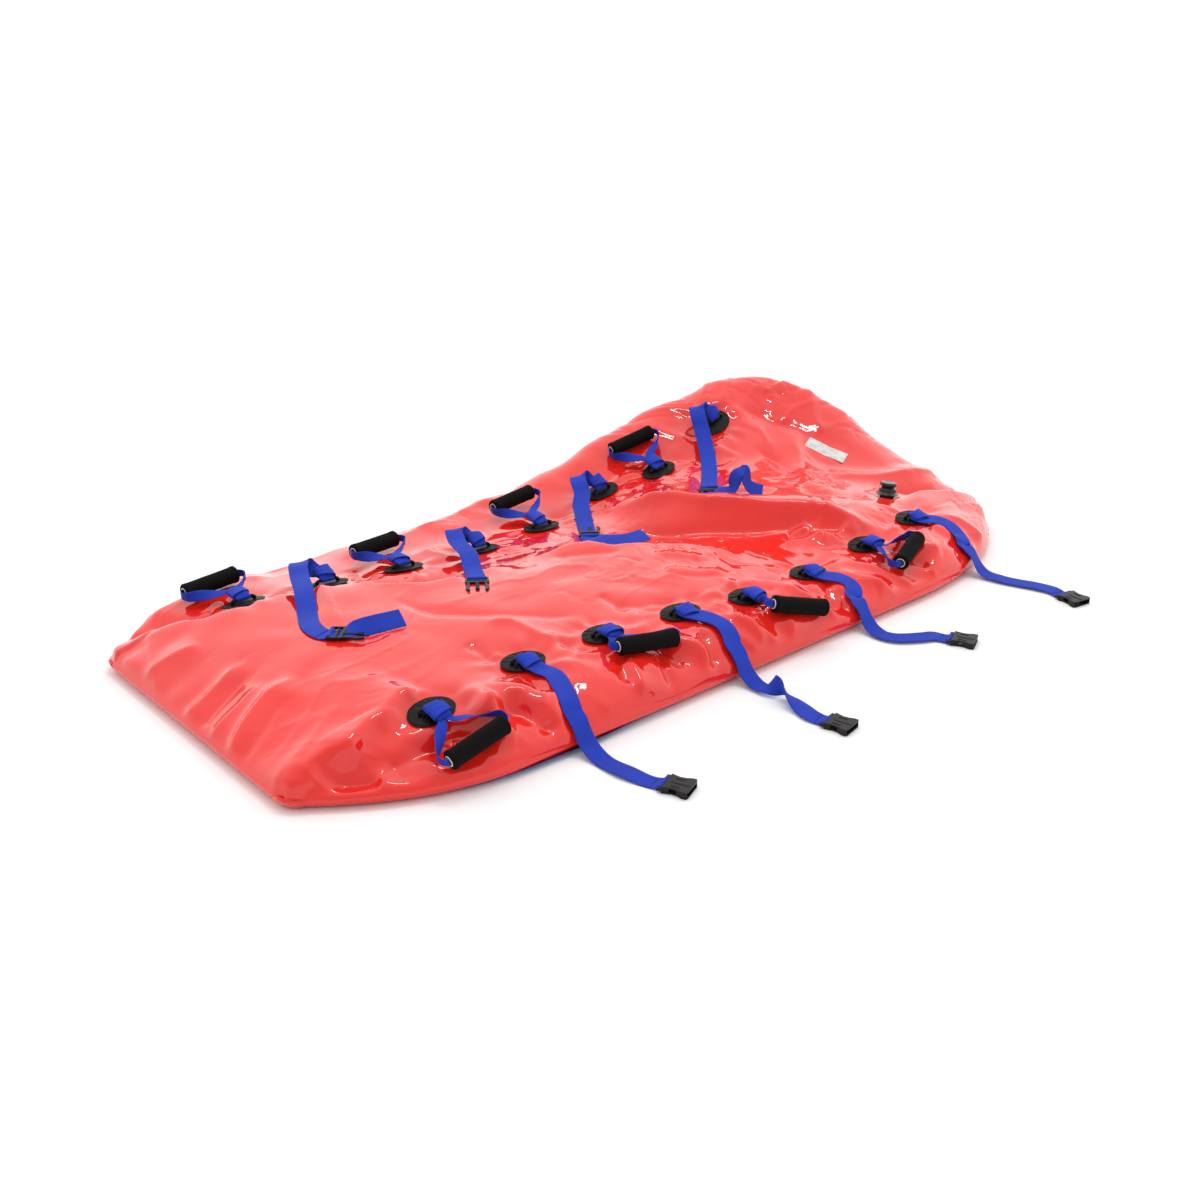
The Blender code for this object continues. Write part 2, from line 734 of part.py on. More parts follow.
def curve(points, pieces):
    """Smooth curve through points, each span cut into pieces."""
    points = [np.array(p, float) for p in points]
    result = []
    for i in range(len(points) - 1):
        near = [points[min(max(i + d, 0), len(points) - 1)] for d in (-1, 0, 1, 2)]
        for k in range(pieces):
            weights = spline_weights(k / pieces)
            result.append(sum(w * p for w, p in zip(weights, near)))
    return result + [points[-1]]


def lay_ribbon(tree, path, half_widths, lifts, clearance=LAY_CLEARANCE):
    """Stations of a ribbon laid along a path, at least its lift clear of what is below it."""
    half = 0.5 * WEB_THICKNESS
    plan = [np.array(p[:2]) for p in path]
    sides, edges = [], []
    for k, here in enumerate(plan):
        way = unit(plan[min(k + 1, len(plan) - 1)] - plan[max(k - 1, 0)])
        side = np.array([-way[1], way[0]])
        sides.append(side)
        row = []
        for s in (-1.0, 1.0):
            spot_xy = here + side * half_widths[k] * s
            height, upright = ground(tree, *spot_xy)
            row.append(height + (half + clearance) / upright + lifts[k])
        edges.append(row)
    stations = []
    for here, side, half_width, (low, high) in zip(plan, sides, half_widths, edges):
        tilt = np.array([*(side * half_width), 0.5 * (high - low)])
        stations.append(((*here, 0.5 * (low + high)), unit(tilt), half_width, WEB_THICKNESS))
    return clear_of(tree, stations, clearance)


def clear_of(tree, stations, clearance):
    """Raise a ribbon's stations until the whole band clears what is below it."""
    half = 0.5 * WEB_THICKNESS
    rows = [[np.array(c), np.array(s) * w] for c, s, w, _ in stations]
    for _ in range(12):
        steady = True
        for low, high in zip(rows, rows[1:]):
            for t in np.linspace(0.0, 1.0, 6):
                for s in SIDE_SAMPLES:
                    here = (low[0] + low[1] * s) * (1.0 - t) + (high[0] + high[1] * s) * t
                    height, upright = ground(tree, here[0], here[1])
                    short = height + (half + clearance) / upright - here[2]
                    if short > 1e-6:
                        steady = False
                        low[0][2] += short
                        high[0][2] += short
        if steady:
            break
    return [(row[0], s, w, t) for row, (_, s, w, t) in zip(rows, stations)]


RING_INNER = PATCH_BAR_RADIUS + RUN_CLEARANCE
RING_OUTER = RING_INNER + WEB_THICKNESS
BORE_ROOM = GRIP_BORE * math.cos(math.pi / GRIP_STEPS) - GAP
HANDLE_WEB_IN_GRIP = 2.0 * math.sqrt(BORE_ROOM ** 2 - (0.5 * WEB_THICKNESS) ** 2)
BUCKLE_RING_INNER = BAR_RADIUS + RUN_CLEARANCE
BUCKLE_RING_OUTER = BUCKLE_RING_INNER + WEB_THICKNESS


# Patches


def make_patch(tree, port):
    """An oval patch with a raised bar: its solid, the top of its plate and the bar's frame."""
    rows = [port]
    for share in (0.55, 1.0):
        for k in range(PATCH_STEPS):
            angle = 2.0 * math.pi * k / PATCH_STEPS
            rows.append((
                port[0] + PATCH_HALF_LENGTH * share * math.cos(angle),
                port[1] + PATCH_HALF_WIDTH * share * math.sin(angle),
            ))
    faces = []
    for k in range(PATCH_STEPS):
        a, b = 1 + k, 1 + (k + 1) % PATCH_STEPS
        c, d = a + PATCH_STEPS, b + PATCH_STEPS
        faces.extend([(0, a, b), (a, c, d), (a, d, b)])
    solid, top = plate(tree, rows, faces, PATCH_THICKNESS)
    top_tree = tree_of([top])
    width = 0.5 * PATCH_BAR_SPAN
    frame = rest_frame(top_tree, *port, math.radians(90.0), (-RING_OUTER, RING_OUTER), width,
                       RING_OUTER + GAP)
    bar = rod(PATCH_BAR_RADIUS, width + PATCH_POST, BAR_SIDES)
    pieces = [moved(bar, frame)]
    for side in (-1.0, 1.0):
        inner = side * (width + GAP)
        outer = side * (width + PATCH_POST)
        feet = []
        for x in (inner, outer):
            for y in (-RING_OUTER, RING_OUTER):
                place = frame @ Vector((x, y, 0.0))
                feet.append(ground(top_tree, place.x, place.y)[0] - place.z)
        foot = min(feet) - 0.5 * PATCH_THICKNESS
        crest = PATCH_BAR_RADIUS * 1.4
        section = [
            (-RING_OUTER, foot), (RING_OUTER, foot),
            (0.7 * RING_OUTER, crest), (-0.7 * RING_OUTER, crest),
        ]
        low, high = sorted((inner, outer))
        points, post_faces = prism(section, low, high)
        post = ([(z, x, y) for x, y, z in points], post_faces)
        pieces.append(moved(post, frame))
    return joined(solid, pieces), top, frame


# Carry handles


def make_grip_shape():
    """Foam grip with a beaded end, hollow for the webbing, along X."""
    half = 0.5 * GRIP_LENGTH
    bead = 2.0 * (GRIP_RADIUS - GRIP_BORE) / 3.0
    profile = [
        (GRIP_BORE, -half), (GRIP_WAIST - GRIP_END_EASE, -half), (GRIP_RADIUS, -half + 0.3 * bead),
        (GRIP_RADIUS, -half + 0.8 * bead), (GRIP_WAIST, -half + 1.4 * bead),
        (GRIP_WAIST, half - 1.4 * bead), (GRIP_RADIUS, half - 0.8 * bead),
        (GRIP_RADIUS, half - 0.3 * bead), (GRIP_WAIST - GRIP_END_EASE, half), (GRIP_BORE, half),
    ]
    return moved(turned(profile, GRIP_STEPS), Matrix.Rotation(math.radians(90.0), 4, "Y"))


def grip_frame(tree, place, turn, hover):
    """Frame of a grip lying on the bag, its length along X."""
    along = np.array([math.cos(turn), math.sin(turn)])
    across = np.array([-along[1], along[0]])
    half = 0.5 * GRIP_LENGTH
    levels = []
    for f in np.linspace(-half, half, 9):
        best = 0.0
        for s in np.linspace(-0.95, 0.95, 7) * GRIP_RADIUS:
            height = ground(tree, *(place + along * f + across * s))[0]
            best = max(best, height + math.sqrt(GRIP_RADIUS ** 2 - s ** 2))
        levels.append((f, best))
    stops = np.array(levels)
    rise = np.polyfit(stops[:, 0], stops[:, 1], 1)[0]
    level = (stops[:, 1] - rise * stops[:, 0]).max() + RUN_CLEARANCE + hover
    axis = unit(np.array([*along, rise]))
    up = unit(np.cross(axis, np.array([*across, 0.0])))
    frame = Matrix.Identity(4)
    for row in range(3):
        frame[row][0], frame[row][1] = axis[row], np.cross(up, axis)[row]
        frame[row][2], frame[row][3] = up[row], (*place, level)[row]
    return frame


def make_handle(patch_frame, grip):
    """Webbing of one handle: the loop round the bar, the neck, two legs and the run in the grip."""
    bar, axis = column(patch_frame, 3), column(patch_frame, 0)
    centre, along = column(grip, 3), column(grip, 0)
    reach = centre - bar
    toward = unit(reach - axis * np.dot(reach, axis))
    out = unit(reach - along * np.dot(reach, along))
    plane = np.cross(along, out)
    points, faces = [], []
    ring = add_ring(points, faces, bar, axis, toward, 0.5 * LOOP_WIDTH, RING_INNER, RING_OUTER, {0})
    neck_end = 2.0 * RING_OUTER + NECK_LENGTH
    add_ribbon(points, faces, [
        (bar + toward * 2.0 * RING_OUTER, axis, 0.5 * LOOP_WIDTH, 0.85 * NECK_THICKNESS),
        (bar + toward * (neck_end - 0.3 * NECK_LENGTH), axis, 0.54 * LOOP_WIDTH, NECK_THICKNESS),
        (bar + toward * neck_end, axis, 0.52 * LOOP_WIDTH, 0.6 * NECK_THICKNESS),
    ], ring[0])
    neck = (points, faces)

    half = 0.5 * GRIP_LENGTH
    quarter = 0.25 * LOOP_WIDTH
    legs = []
    for side in (-1.0, 1.0):
        start = bar + toward * (neck_end - 0.35 * NECK_LENGTH) + axis * side * (quarter + GAP)
        leave = bar + toward * (neck_end + 0.2 * NECK_LENGTH) + axis * side * (quarter + 2.0 * GAP)
        turn_in = centre + along * side * (half + 1.8 * GRIP_END_ROOM) - out * GRIP_RADIUS * 1.15
        bend = centre + along * side * (half + 2.0 * GRIP_END_ROOM) - out * GRIP_RADIUS * 0.35
        enter = centre + along * side * (half + GRIP_END_ROOM)
        inside = centre + along * side * (half - 2.0 * GRIP_END_ROOM)
        route = [start, leave, leave + (turn_in - leave) * 0.35, leave + (turn_in - leave) * 0.7,
                 turn_in, bend, enter, inside]
        turns = (0.0, 6.0, 25.0, 60.0, 90.0, 90.0, 90.0, 90.0)
        widths = (2.0 * quarter - 4.0 * GAP, 0.6 * HANDLE_WEB_MID, 0.9 * HANDLE_WEB_MID,
                  0.9 * HANDLE_WEB_MID, 0.75 * HANDLE_WEB_MID, 0.6 * HANDLE_WEB_MID,
                  HANDLE_WEB_IN_GRIP, HANDLE_WEB_IN_GRIP)
        stations = []
        for k, here in enumerate(route):
            way = unit(route[min(k + 1, 7)] - route[max(k - 1, 0)])
            flat = unit(axis - way * np.dot(axis, way))
            edge = unit(plane - way * np.dot(plane, way))
            angle = math.radians(turns[k])
            stations.append((here, flat * math.cos(angle) + edge * math.sin(angle),
                             0.5 * widths[k], WEB_THICKNESS))
        legs.append(stations)
    points, faces = [], []
    add_ribbon(points, faces, legs[0] + legs[1][::-1])
    return joined(neck, [(points, faces)])


# Buckles, each in its own frame: X along its bar, Y the way it points


def make_female():
    """Female buckle: a flat waisted body with a mouth, side windows and a bar for the webbing."""
    half = 0.5 * FEMALE_HEIGHT
    room = 0.5 * WEB_WIDTH + 1.5 * RUN_CLEARANCE
    edge = room + BUCKLE_ARM
    side = [
        (edge, FEMALE_START), (0.90 * edge, 0.28 * FEMALE_LENGTH), (0.83 * edge, 0.42 * FEMALE_LENGTH),
        (0.88 * edge, 0.62 * FEMALE_LENGTH), (0.5 * BUCKLE_WIDTH, 0.80 * FEMALE_LENGTH),
        (0.5 * BUCKLE_WIDTH, 0.96 * FEMALE_LENGTH), (0.40 * BUCKLE_WIDTH, FEMALE_LENGTH),
    ]
    body = prism(side + [(-x, y) for x, y in side[::-1]], -half, half)
    back = FEMALE_LENGTH - MOUTH_DEPTH
    inner = 0.83 * edge - MOUTH_WALL
    flare = 0.5 * BUCKLE_WIDTH - MOUTH_WALL
    beyond = FEMALE_LENGTH + MOUTH_WALL
    room_side = [(inner, back), (inner, 0.60 * FEMALE_LENGTH), (flare, 0.84 * FEMALE_LENGTH),
                 (flare, beyond)]
    mouth = prism(room_side + [(-x, y) for x, y in room_side[::-1]],
                  -0.5 * MOUTH_HEIGHT, 0.5 * MOUTH_HEIGHT)
    windows = box((-BUCKLE_WIDTH, BUCKLE_WIDTH), WINDOW, (-0.4 * MOUTH_HEIGHT, 0.4 * MOUTH_HEIGHT))
    body = joined(body, [mouth, windows], "DIFFERENCE")
    arms = []
    for sign in (-1.0, 1.0):
        low, high = sorted((sign * room, sign * edge))
        arms.append(box((low, high), (-1.4 * BAR_RADIUS, FEMALE_START + BUCKLE_ARM),
                        (-1.3 * BAR_RADIUS, 1.3 * BAR_RADIUS)))
    bar = rod(BAR_RADIUS, 0.5 * (room + edge), BAR_SIDES)
    return joined(body, arms + [bar])


def make_male():
    """Male buckle: an adjuster frame with two bars, a tongue and two side prongs."""
    half = 0.5 * MALE_HEIGHT
    room = 0.5 * WEB_WIDTH + 1.5 * RUN_CLEARANCE
    edge = room + BUCKLE_ARM
    plate_from = MALE_FRAME - 1.6 * BUCKLE_ARM
    shape = box((-edge, edge), (plate_from, MALE_FRAME), (-half, half))
    extra = []
    for sign in (-1.0, 1.0):
        low, high = sorted((sign * room, sign * edge))
        extra.append(box((low, high), (-1.4 * BAR_RADIUS, plate_from + GAP), (-half, half)))
        prong = [
            (0.62 * edge, MALE_FRAME - GAP), (0.86 * edge, MALE_FRAME - GAP),
            (0.88 * edge, 0.68 * MALE_LENGTH), (edge, 0.74 * MALE_LENGTH),
            (edge, 0.84 * MALE_LENGTH), (0.84 * edge, MALE_LENGTH),
            (0.64 * edge, MALE_LENGTH), (0.68 * edge, 0.74 * MALE_LENGTH),
        ]
        extra.append(prism([(sign * x, y) for x, y in prong], -0.8 * half, 0.8 * half))
    middle = BUCKLE_RING_OUTER + 1.8 * BUCKLE_ARM
    extra.append(box((-room - GAP, room + GAP), (middle, middle + BUCKLE_ARM), (-0.6 * half, 0.6 * half)))
    extra.append(box((-0.5 * TONGUE_WIDTH, 0.5 * TONGUE_WIDTH), (MALE_FRAME - GAP, 0.93 * MALE_LENGTH),
                     (-0.6 * half, 0.6 * half)))
    extra.append(rod(BAR_RADIUS, 0.5 * (room + edge), BAR_SIDES))
    return joined(shape, extra)


# Patient straps


def edge_place(x, outward):
    """Point of the near edge at a place along the bag, moved outward, with its directions."""
    side = NEAR_SIDE
    k = min(max(int(np.searchsorted(side[:, 0], x)) - 1, 0), len(side) - 2)
    t = (x - side[k][0]) / max(side[k + 1][0] - side[k][0], 1e-9)
    place = side[k] + (side[k + 1] - side[k]) * t
    along = unit(side[k + 1] - side[k])
    away = np.array([along[1], -along[0]])
    return place + away * outward, away


def make_near_strap(tree, patch_frame, lie):
    """Near strap from its patch over the edge to the floor, and its buckle's frame."""
    first, second, edge_drift, past, end_drift, yaw, twist = lie
    bar, axis = column(patch_frame, 3), column(patch_frame, 0)
    toward = -column(patch_frame, 1)
    points, faces = [], []
    ring = add_ring(points, faces, bar, axis, toward, 0.5 * LOOP_WIDTH, RING_INNER, RING_OUTER, {0})
    half = 0.5 * WEB_WIDTH
    start_out = bar[:2] + toward[:2] * 1.9 * RING_OUTER
    straight = bar[:2] + toward[:2] * 5.0 * RING_OUTER
    rim = -EDGE_DROP[0][0]
    rim_place, _ = edge_place(bar[0] + edge_drift, -1.8 * rim)
    plan = curve([start_out, straight, bar[:2] + first, bar[:2] + second, rim_place], 3)
    widths = [0.5 * LOOP_WIDTH + LOOP_EASE] + [half] * (len(plan) - 1)
    stations = lay_ribbon(tree, plan, widths, [0.0] * len(plan))
    stations[0] = (stations[0][0], axis, *stations[0][2:])
    drops = []
    for out, share in EDGE_DROP:
        place, away = edge_place(bar[0] + edge_drift, out)
        drops.append((*place, share * SEAM_HEIGHT + 0.5 * WEB_THICKNESS))
    low = FLOOR_GAP + 0.5 * WEB_THICKNESS
    heading = math.radians(yaw - 90.0)
    ahead = np.array([math.cos(heading), math.sin(heading)])
    end, _ = edge_place(bar[0] + edge_drift, past)
    end = end + np.array([end_drift, 0.0])
    landing, _ = edge_place(bar[0] + edge_drift, LANDING)
    bar_height = 0.5 * FEMALE_HEIGHT + FLOOR_GAP
    before = end - ahead * LAST_RUN
    middle = 0.5 * (landing + before) + 0.15 * (np.array([edge_drift, 0.0]) - end_drift * 0.5)
    route = drops + [(*landing, low), (*middle, low), (*before, low)]
    route = curve(route, 2)
    flat = len(drops) * 2
    last = [end - ahead * RISE_FROM, end - ahead * 1.6 * BUCKLE_RING_OUTER]
    route += [np.array((*last[0], low + FIRST_RISE)), np.array((*last[1], 0.5 * (bar_height + low)))]
    total = len(route)
    for k, here in enumerate(route):
        way = route[min(k + 1, total - 1)] - route[max(k - 1, 0)]
        flat_way = unit(way[:2]) if np.linalg.norm(way[:2]) > 1e-9 else ahead
        left = np.array([-flat_way[1], flat_way[0], 0.0])
        share = min(max((k - flat + 1) / max(total - 3 - flat, 1), 0.0), 1.0)
        turn = math.radians(twist) * share * share * (3.0 - 2.0 * share)
        side = left * math.cos(turn) + np.array([0.0, 0.0, 1.0]) * math.sin(turn)
        centre = here + (0.0, 0.0, half * abs(math.sin(turn)))
        stations.append((centre, side, half, WEB_THICKNESS))
    stations = clear_of(tree, stations, 2.0 * LAY_CLEARANCE)
    sign = -1.0 if twist > 90.0 else 1.0
    left = np.array([-ahead[1], ahead[0], 0.0]) * sign
    centre = np.array([*end, bar_height])
    back = np.array([*-ahead, 0.0])
    tail = add_ring(points, faces, centre, left, back, half, BUCKLE_RING_INNER,
                    BUCKLE_RING_OUTER, {0})
    add_ribbon(points, faces, stations, ring[0], tail[0])
    frame = Matrix((
        (ahead[1], ahead[0], 0.0, centre[0]), (-ahead[0], ahead[1], 0.0, centre[1]),
        (0.0, 0.0, 1.0, centre[2]), (0.0, 0.0, 0.0, 1.0),
    ))
    return (points, faces), frame


def make_far_strap(tree, patch_frame, route, heading, tail_path, thick_end):
    """Far strap folded over the top of the bag to its buckle, with its free tail."""
    bar, axis = column(patch_frame, 3), column(patch_frame, 0)
    outboard, up = column(patch_frame, 1), column(patch_frame, 2)
    toward = unit(outboard * math.cos(math.radians(35.0)) + up * math.sin(math.radians(35.0)))
    points, faces = [], []
    ring = add_ring(points, faces, bar, axis, toward, 0.5 * LOOP_WIDTH, RING_INNER, RING_OUTER, {0})
    half = 0.5 * WEB_WIDTH
    plan = [bar[:2] + np.array(p) for p in route]
    end = plan[-1]
    arrive = unit(plan[-1] - plan[-2])
    angle = math.radians(heading)
    frame = rest_frame(tree, *end, angle, (-3.0 * BUCKLE_RING_OUTER, MALE_LENGTH),
                       0.5 * BUCKLE_WIDTH, BUCKLE_RING_OUTER + WEB_THICKNESS)
    centre = column(frame, 3)
    lifted = column(frame, 2)
    flipped = np.dot(arrive, (math.cos(angle), math.sin(angle))) < -0.5
    forward = column(frame, 1) * (-1.0 if flipped else 1.0)
    left = unit(np.cross(lifted, forward))
    back = -forward
    drop = 0.0
    if flipped:
        drop = 2.0 * math.pi / RING_SIDES
        back = unit(back * math.cos(drop) - lifted * math.sin(drop))
    opened = {0}
    if tail_path:
        opened.add(TAIL_FACET)
    hold = add_ring(points, faces, centre, left, back, half, BUCKLE_RING_INNER,
                    BUCKLE_RING_OUTER, opened)

    last_plan = (centre + back * 2.4 * BUCKLE_RING_OUTER)[:2]
    smooth = curve(plan[:-1] + [last_plan], 3)
    lifts = [FOLD_LIFT * max(1.0 - k / 3.0, 0.0) for k in range(len(smooth))]
    widths = [half] * len(smooth)
    laid = lay_ribbon(tree, smooth, widths, lifts)
    folds = []
    for x, y, z in FAR_FOLD:
        folds.append(bar + axis * x + outboard * y + up * z)
    first = bar + toward * 1.9 * RING_OUTER
    loop = curve([first] + folds + [np.array(laid[0][0])], 2)[:-1]
    begin = axis
    finish = np.array(laid[0][1])
    stations = []
    for k, here in enumerate(loop):
        share = k / len(loop)
        side = unit(begin * (1.0 - share) + finish * share)
        width = 0.5 * LOOP_WIDTH + (half - 0.5 * LOOP_WIDTH) * min(1.0, 0.4 + share * 2.0)
        stations.append((here, side, width, WEB_THICKNESS))
    stations += laid
    stations[-1] = (stations[-1][0], left, *stations[-1][2:])
    stations = clear_of(tree, stations, LAY_CLEARANCE)
    if thick_end:
        from_end = 0
        for k in range(len(stations) - 1, -1, -1):
            from_end = np.linalg.norm(np.array(stations[k][0]) - centre)
            if from_end > thick_end:
                break
            place, side, width, _ = stations[k]
            way = unit(np.array(stations[min(k + 1, len(stations) - 1)][0])
                       - np.array(stations[k - 1][0]))
            rise = unit(np.cross(way, side)) * 0.5 * WEB_THICKNESS
            rise = rise if rise[2] > 0.0 else -rise
            stations[k] = (np.array(place) + rise, side, width, 2.0 * WEB_THICKNESS)
    add_ribbon(points, faces, stations, ring[0], hold[0])

    if tail_path:
        base = np.array([*centre[:2]])
        ahead = unit(forward[:2])
        across = np.array([-ahead[1], ahead[0]])
        tail_plan = [base + ahead * 2.0 * BUCKLE_RING_OUTER]
        tail_plan += [base + ahead * f + across * s for f, s, _ in tail_path]
        tail_plan = curve(tail_plan, 3)
        rises = curve([(0.0,)] + [(h,) for _, _, h in tail_path], 3)
        rises = [max(float(r[0]), 0.0) for r in rises]
        rest = lay_ribbon(tree, tail_plan, [half] * len(tail_plan), rises)
        rest[0] = (rest[0][0], left, *rest[0][2:])
        rest = clear_of(tree, rest, LAY_CLEARANCE)
        add_ribbon(points, faces, rest, hold[TAIL_FACET])
    return (points, faces), frame


# Air valve and label


def valve_frame(tree):
    """Frame of the valve on the skin, its axis square to it."""
    reach = VALVE_FLANGE_RADIUS
    place = place_in_plan(HALF_LENGTH - VALVE_FROM_HEAD, VALVE_FROM_EDGE, "near")
    return rest_frame(tree, *place, math.radians(90.0), (-reach, reach), reach, GAP)


def make_valve_body():
    """Valve body: flange, waisted barrel and the spigot through the skin, with a ledge below."""
    seat = FILTER_THICKNESS + GAP
    profile = [
        (VALVE_BORE, VALVE_BODY_HEIGHT), (VALVE_BORE, -VALVE_SPIGOT + seat + VALVE_FLANGE),
        (VALVE_BORE * 0.75, -VALVE_SPIGOT + VALVE_FLANGE), (VALVE_BORE * 0.75, -VALVE_SPIGOT),
        (VALVE_SPIGOT_RADIUS, -VALVE_SPIGOT), (VALVE_SPIGOT_RADIUS, 0.0),
        (VALVE_FLANGE_RADIUS, 0.0), (VALVE_FLANGE_RADIUS, VALVE_FLANGE),
        (VALVE_RADIUS * 1.08, VALVE_FLANGE * 1.6), (VALVE_RADIUS, VALVE_BODY_HEIGHT * 0.45),
        (VALVE_RADIUS, VALVE_BODY_HEIGHT * 0.88), (VALVE_RADIUS * 0.94, VALVE_BODY_HEIGHT),
    ]
    return turned(profile, VALVE_STEPS)


def make_knob():
    """Valve knob: waist, flared cap and the plug that closes the bore, grooved for its seal."""
    base = VALVE_BODY_HEIGHT + GAP
    plug = VALVE_BORE - 2.0 * GAP
    groove = plug - SEAL_RADIUS
    top = base + KNOB_HEIGHT
    low = base - 5.0 * SEAL_RADIUS
    profile = [
        (0.0, low), (plug, low), (plug, low + SEAL_RADIUS), (groove, low + SEAL_RADIUS),
        (groove, low + 3.0 * SEAL_RADIUS + 2.0 * GAP), (plug, low + 3.0 * SEAL_RADIUS + 2.0 * GAP),
        (plug, base), (KNOB_WAIST, base), (KNOB_WAIST, base + 0.25 * KNOB_HEIGHT),
        (KNOB_RADIUS * 0.97, base + 0.45 * KNOB_HEIGHT), (KNOB_RADIUS, base + 0.78 * KNOB_HEIGHT),
        (KNOB_RADIUS * 0.96, base + 0.93 * KNOB_HEIGHT), (KNOB_RADIUS * 0.85, top), (0.0, top * 0.995),
    ]
    return turned(profile, VALVE_STEPS)


def make_seal():
    """Sealing ring in the groove of the plug."""
    plug = VALVE_BORE - 2.0 * GAP
    low = VALVE_BODY_HEIGHT + GAP - 4.0 * SEAL_RADIUS + GAP
    inner, outer = plug - SEAL_RADIUS + GAP, VALVE_BORE - GAP
    middle = 0.5 * (inner + outer)
    high = low + 2.0 * SEAL_RADIUS
    third = 0.3 * (outer - inner)
    profile = [
        (middle - third, low), (middle + third, low), (outer, low + third), (outer, high - third),
        (middle + third, high), (middle - third, high), (inner, high - third), (inner, low + third),
    ]
    return turned(profile, VALVE_STEPS)


def make_filter():
    """Disc that keeps the beads in, on the ledge at the foot of the spigot."""
    low = -VALVE_SPIGOT + VALVE_FLANGE + GAP + FILTER_THICKNESS
    radius = VALVE_BORE - GAP
    return turned([(0.0, low), (radius, low), (radius, low + FILTER_THICKNESS),
                   (0.0, low + FILTER_THICKNESS)], VALVE_STEPS)


def make_label(tree):
    """Bare label on the top skin."""
    turn = math.radians(LABEL_TURN)
    along = np.array([math.cos(turn), math.sin(turn)])
    across = np.array([-along[1], along[0]])
    middle = np.array([HALF_LENGTH - LABEL_FROM_HEAD, LABEL_OFF_MIDDLE])
    rows, faces = [], []
    for i in np.linspace(-0.5, 0.5, 7):
        for j in np.linspace(-0.5, 0.5, 4):
            rows.append(tuple(middle + along * i * LABEL_SIZE[0] + across * j * LABEL_SIZE[1]))
    for i in range(6):
        for j in range(3):
            k = 4 * i + j
            faces.extend([(k, k + 4, k + 5), (k, k + 5, k + 1)])
    return plate(tree, rows, faces, LABEL_THICKNESS)[0]


def main():
    """Make every piece of the mattress."""
    remove_old_objects()
    red = make_material("pvc_red", (0.80, 0.055, 0.055), 0.22, 0.6)
    blue = make_material("pvc_blue", (0.02, 0.05, 0.30), 0.35, 0.3)
    bead = make_material("beads_white", (0.90, 0.90, 0.88), 0.8)
    black = make_material("patch_black", (0.012, 0.012, 0.013), 0.5)
    webbing = make_material("webbing_blue", (0.03, 0.08, 0.55), 0.8)
    foam = make_material("foam_black", (0.02, 0.02, 0.022), 0.75)
    nylon = make_material("nylon_grey", (0.055, 0.050, 0.045), 0.45)
    valve = make_material("valve_black", (0.02, 0.02, 0.02), 0.3)
    rubber = make_material("rubber_black", (0.03, 0.03, 0.03), 0.6)
    paper = make_material("label_white", (0.85, 0.86, 0.86), 0.4)
    mesh_grey = make_material("filter_grey", (0.45, 0.45, 0.45), 0.8)

    outer, top, bottom, beads = make_bag()
    skin = tree_of([outer])

    valve_place = valve_frame(skin)
    hole_radius = VALVE_SPIGOT_RADIUS + GAP
    depth = VALVE_SPIGOT + 3.0 * GAP
    hole = moved(turned([(0.0, -depth), (hole_radius, -depth), (hole_radius, depth), (0.0, depth)],
                        VALVE_STEPS), valve_place)
    make_object("top_skin", joined(top, [hole], "DIFFERENCE"), red, sharp=60.0)
    make_object("bottom_skin", bottom, blue, sharp=60.0)
    make_object("bead_fill", joined(beads, [hole], "DIFFERENCE"), bead, sharp=60.0)
    make_placed("valve_body", moved(make_valve_body(), valve_place), valve, valve_place)
    make_placed("valve_knob", moved(make_knob(), valve_place), valve, valve_place)
    make_placed("valve_seal", moved(make_seal(), valve_place), rubber, valve_place)
    make_placed("bead_filter", moved(make_filter(), valve_place), mesh_grey, valve_place)
    make_object("label", make_label(skin), paper)

    patches = {}
    tops = []
    for side, ports in (("near", NEAR_PORTS), ("far", FAR_PORTS)):
        for k, (share, inset) in enumerate(ports):
            port = place_in_plan(share * HALF_LENGTH, inset, side)
            kind = "handle" if k % 2 == 0 else "strap"
            name = f"{side}_{kind}_patch_{k // 2 + 1}"
            solid, plate_top, frame = make_patch(skin, port)
            patches[(side, kind, k // 2)] = frame
            tops.append(plate_top)
            make_placed(name, solid, black, frame)
    covered = tree_of([outer] + tops)

    grip_shape = make_grip_shape()
    for side, grips, hover in (("near", NEAR_GRIPS, NEAR_HOVER), ("far", FAR_GRIPS, FAR_HOVER)):
        for k, (dx, dy, turn) in enumerate(grips):
            frame = patches[(side, "handle", k)]
            place = column(frame, 3)[:2] + np.array([dx, dy])
            grip = grip_frame(covered, place, math.radians(turn), hover[k])
            make_placed(f"{side}_handle_webbing_{k + 1}", make_handle(frame, grip), webbing, frame)
            make_placed(f"{side}_handle_grip_{k + 1}", moved(grip_shape, grip), foam, grip)

    female, male = make_female(), make_male()
    for k, lie in enumerate(NEAR_STRAPS):
        frame = patches[("near", "strap", k)]
        strap, place = make_near_strap(covered, frame, lie)
        make_placed(f"near_strap_{k + 1}", strap, webbing, frame)
        make_placed(f"female_buckle_{k + 1}", moved(female, place), nylon, place)
    for k, route in enumerate(FAR_STRAPS):
        frame = patches[("far", "strap", k)]
        strap, place = make_far_strap(covered, frame, route, MALE_HEADINGS[k], MALE_TAILS[k],
                                      LAP_LENGTHS[k])
        make_placed(f"far_strap_{k + 1}", strap, webbing, frame)
        make_placed(f"male_buckle_{k + 1}", moved(male, place), nylon, place)


main()
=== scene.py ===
import json
import math

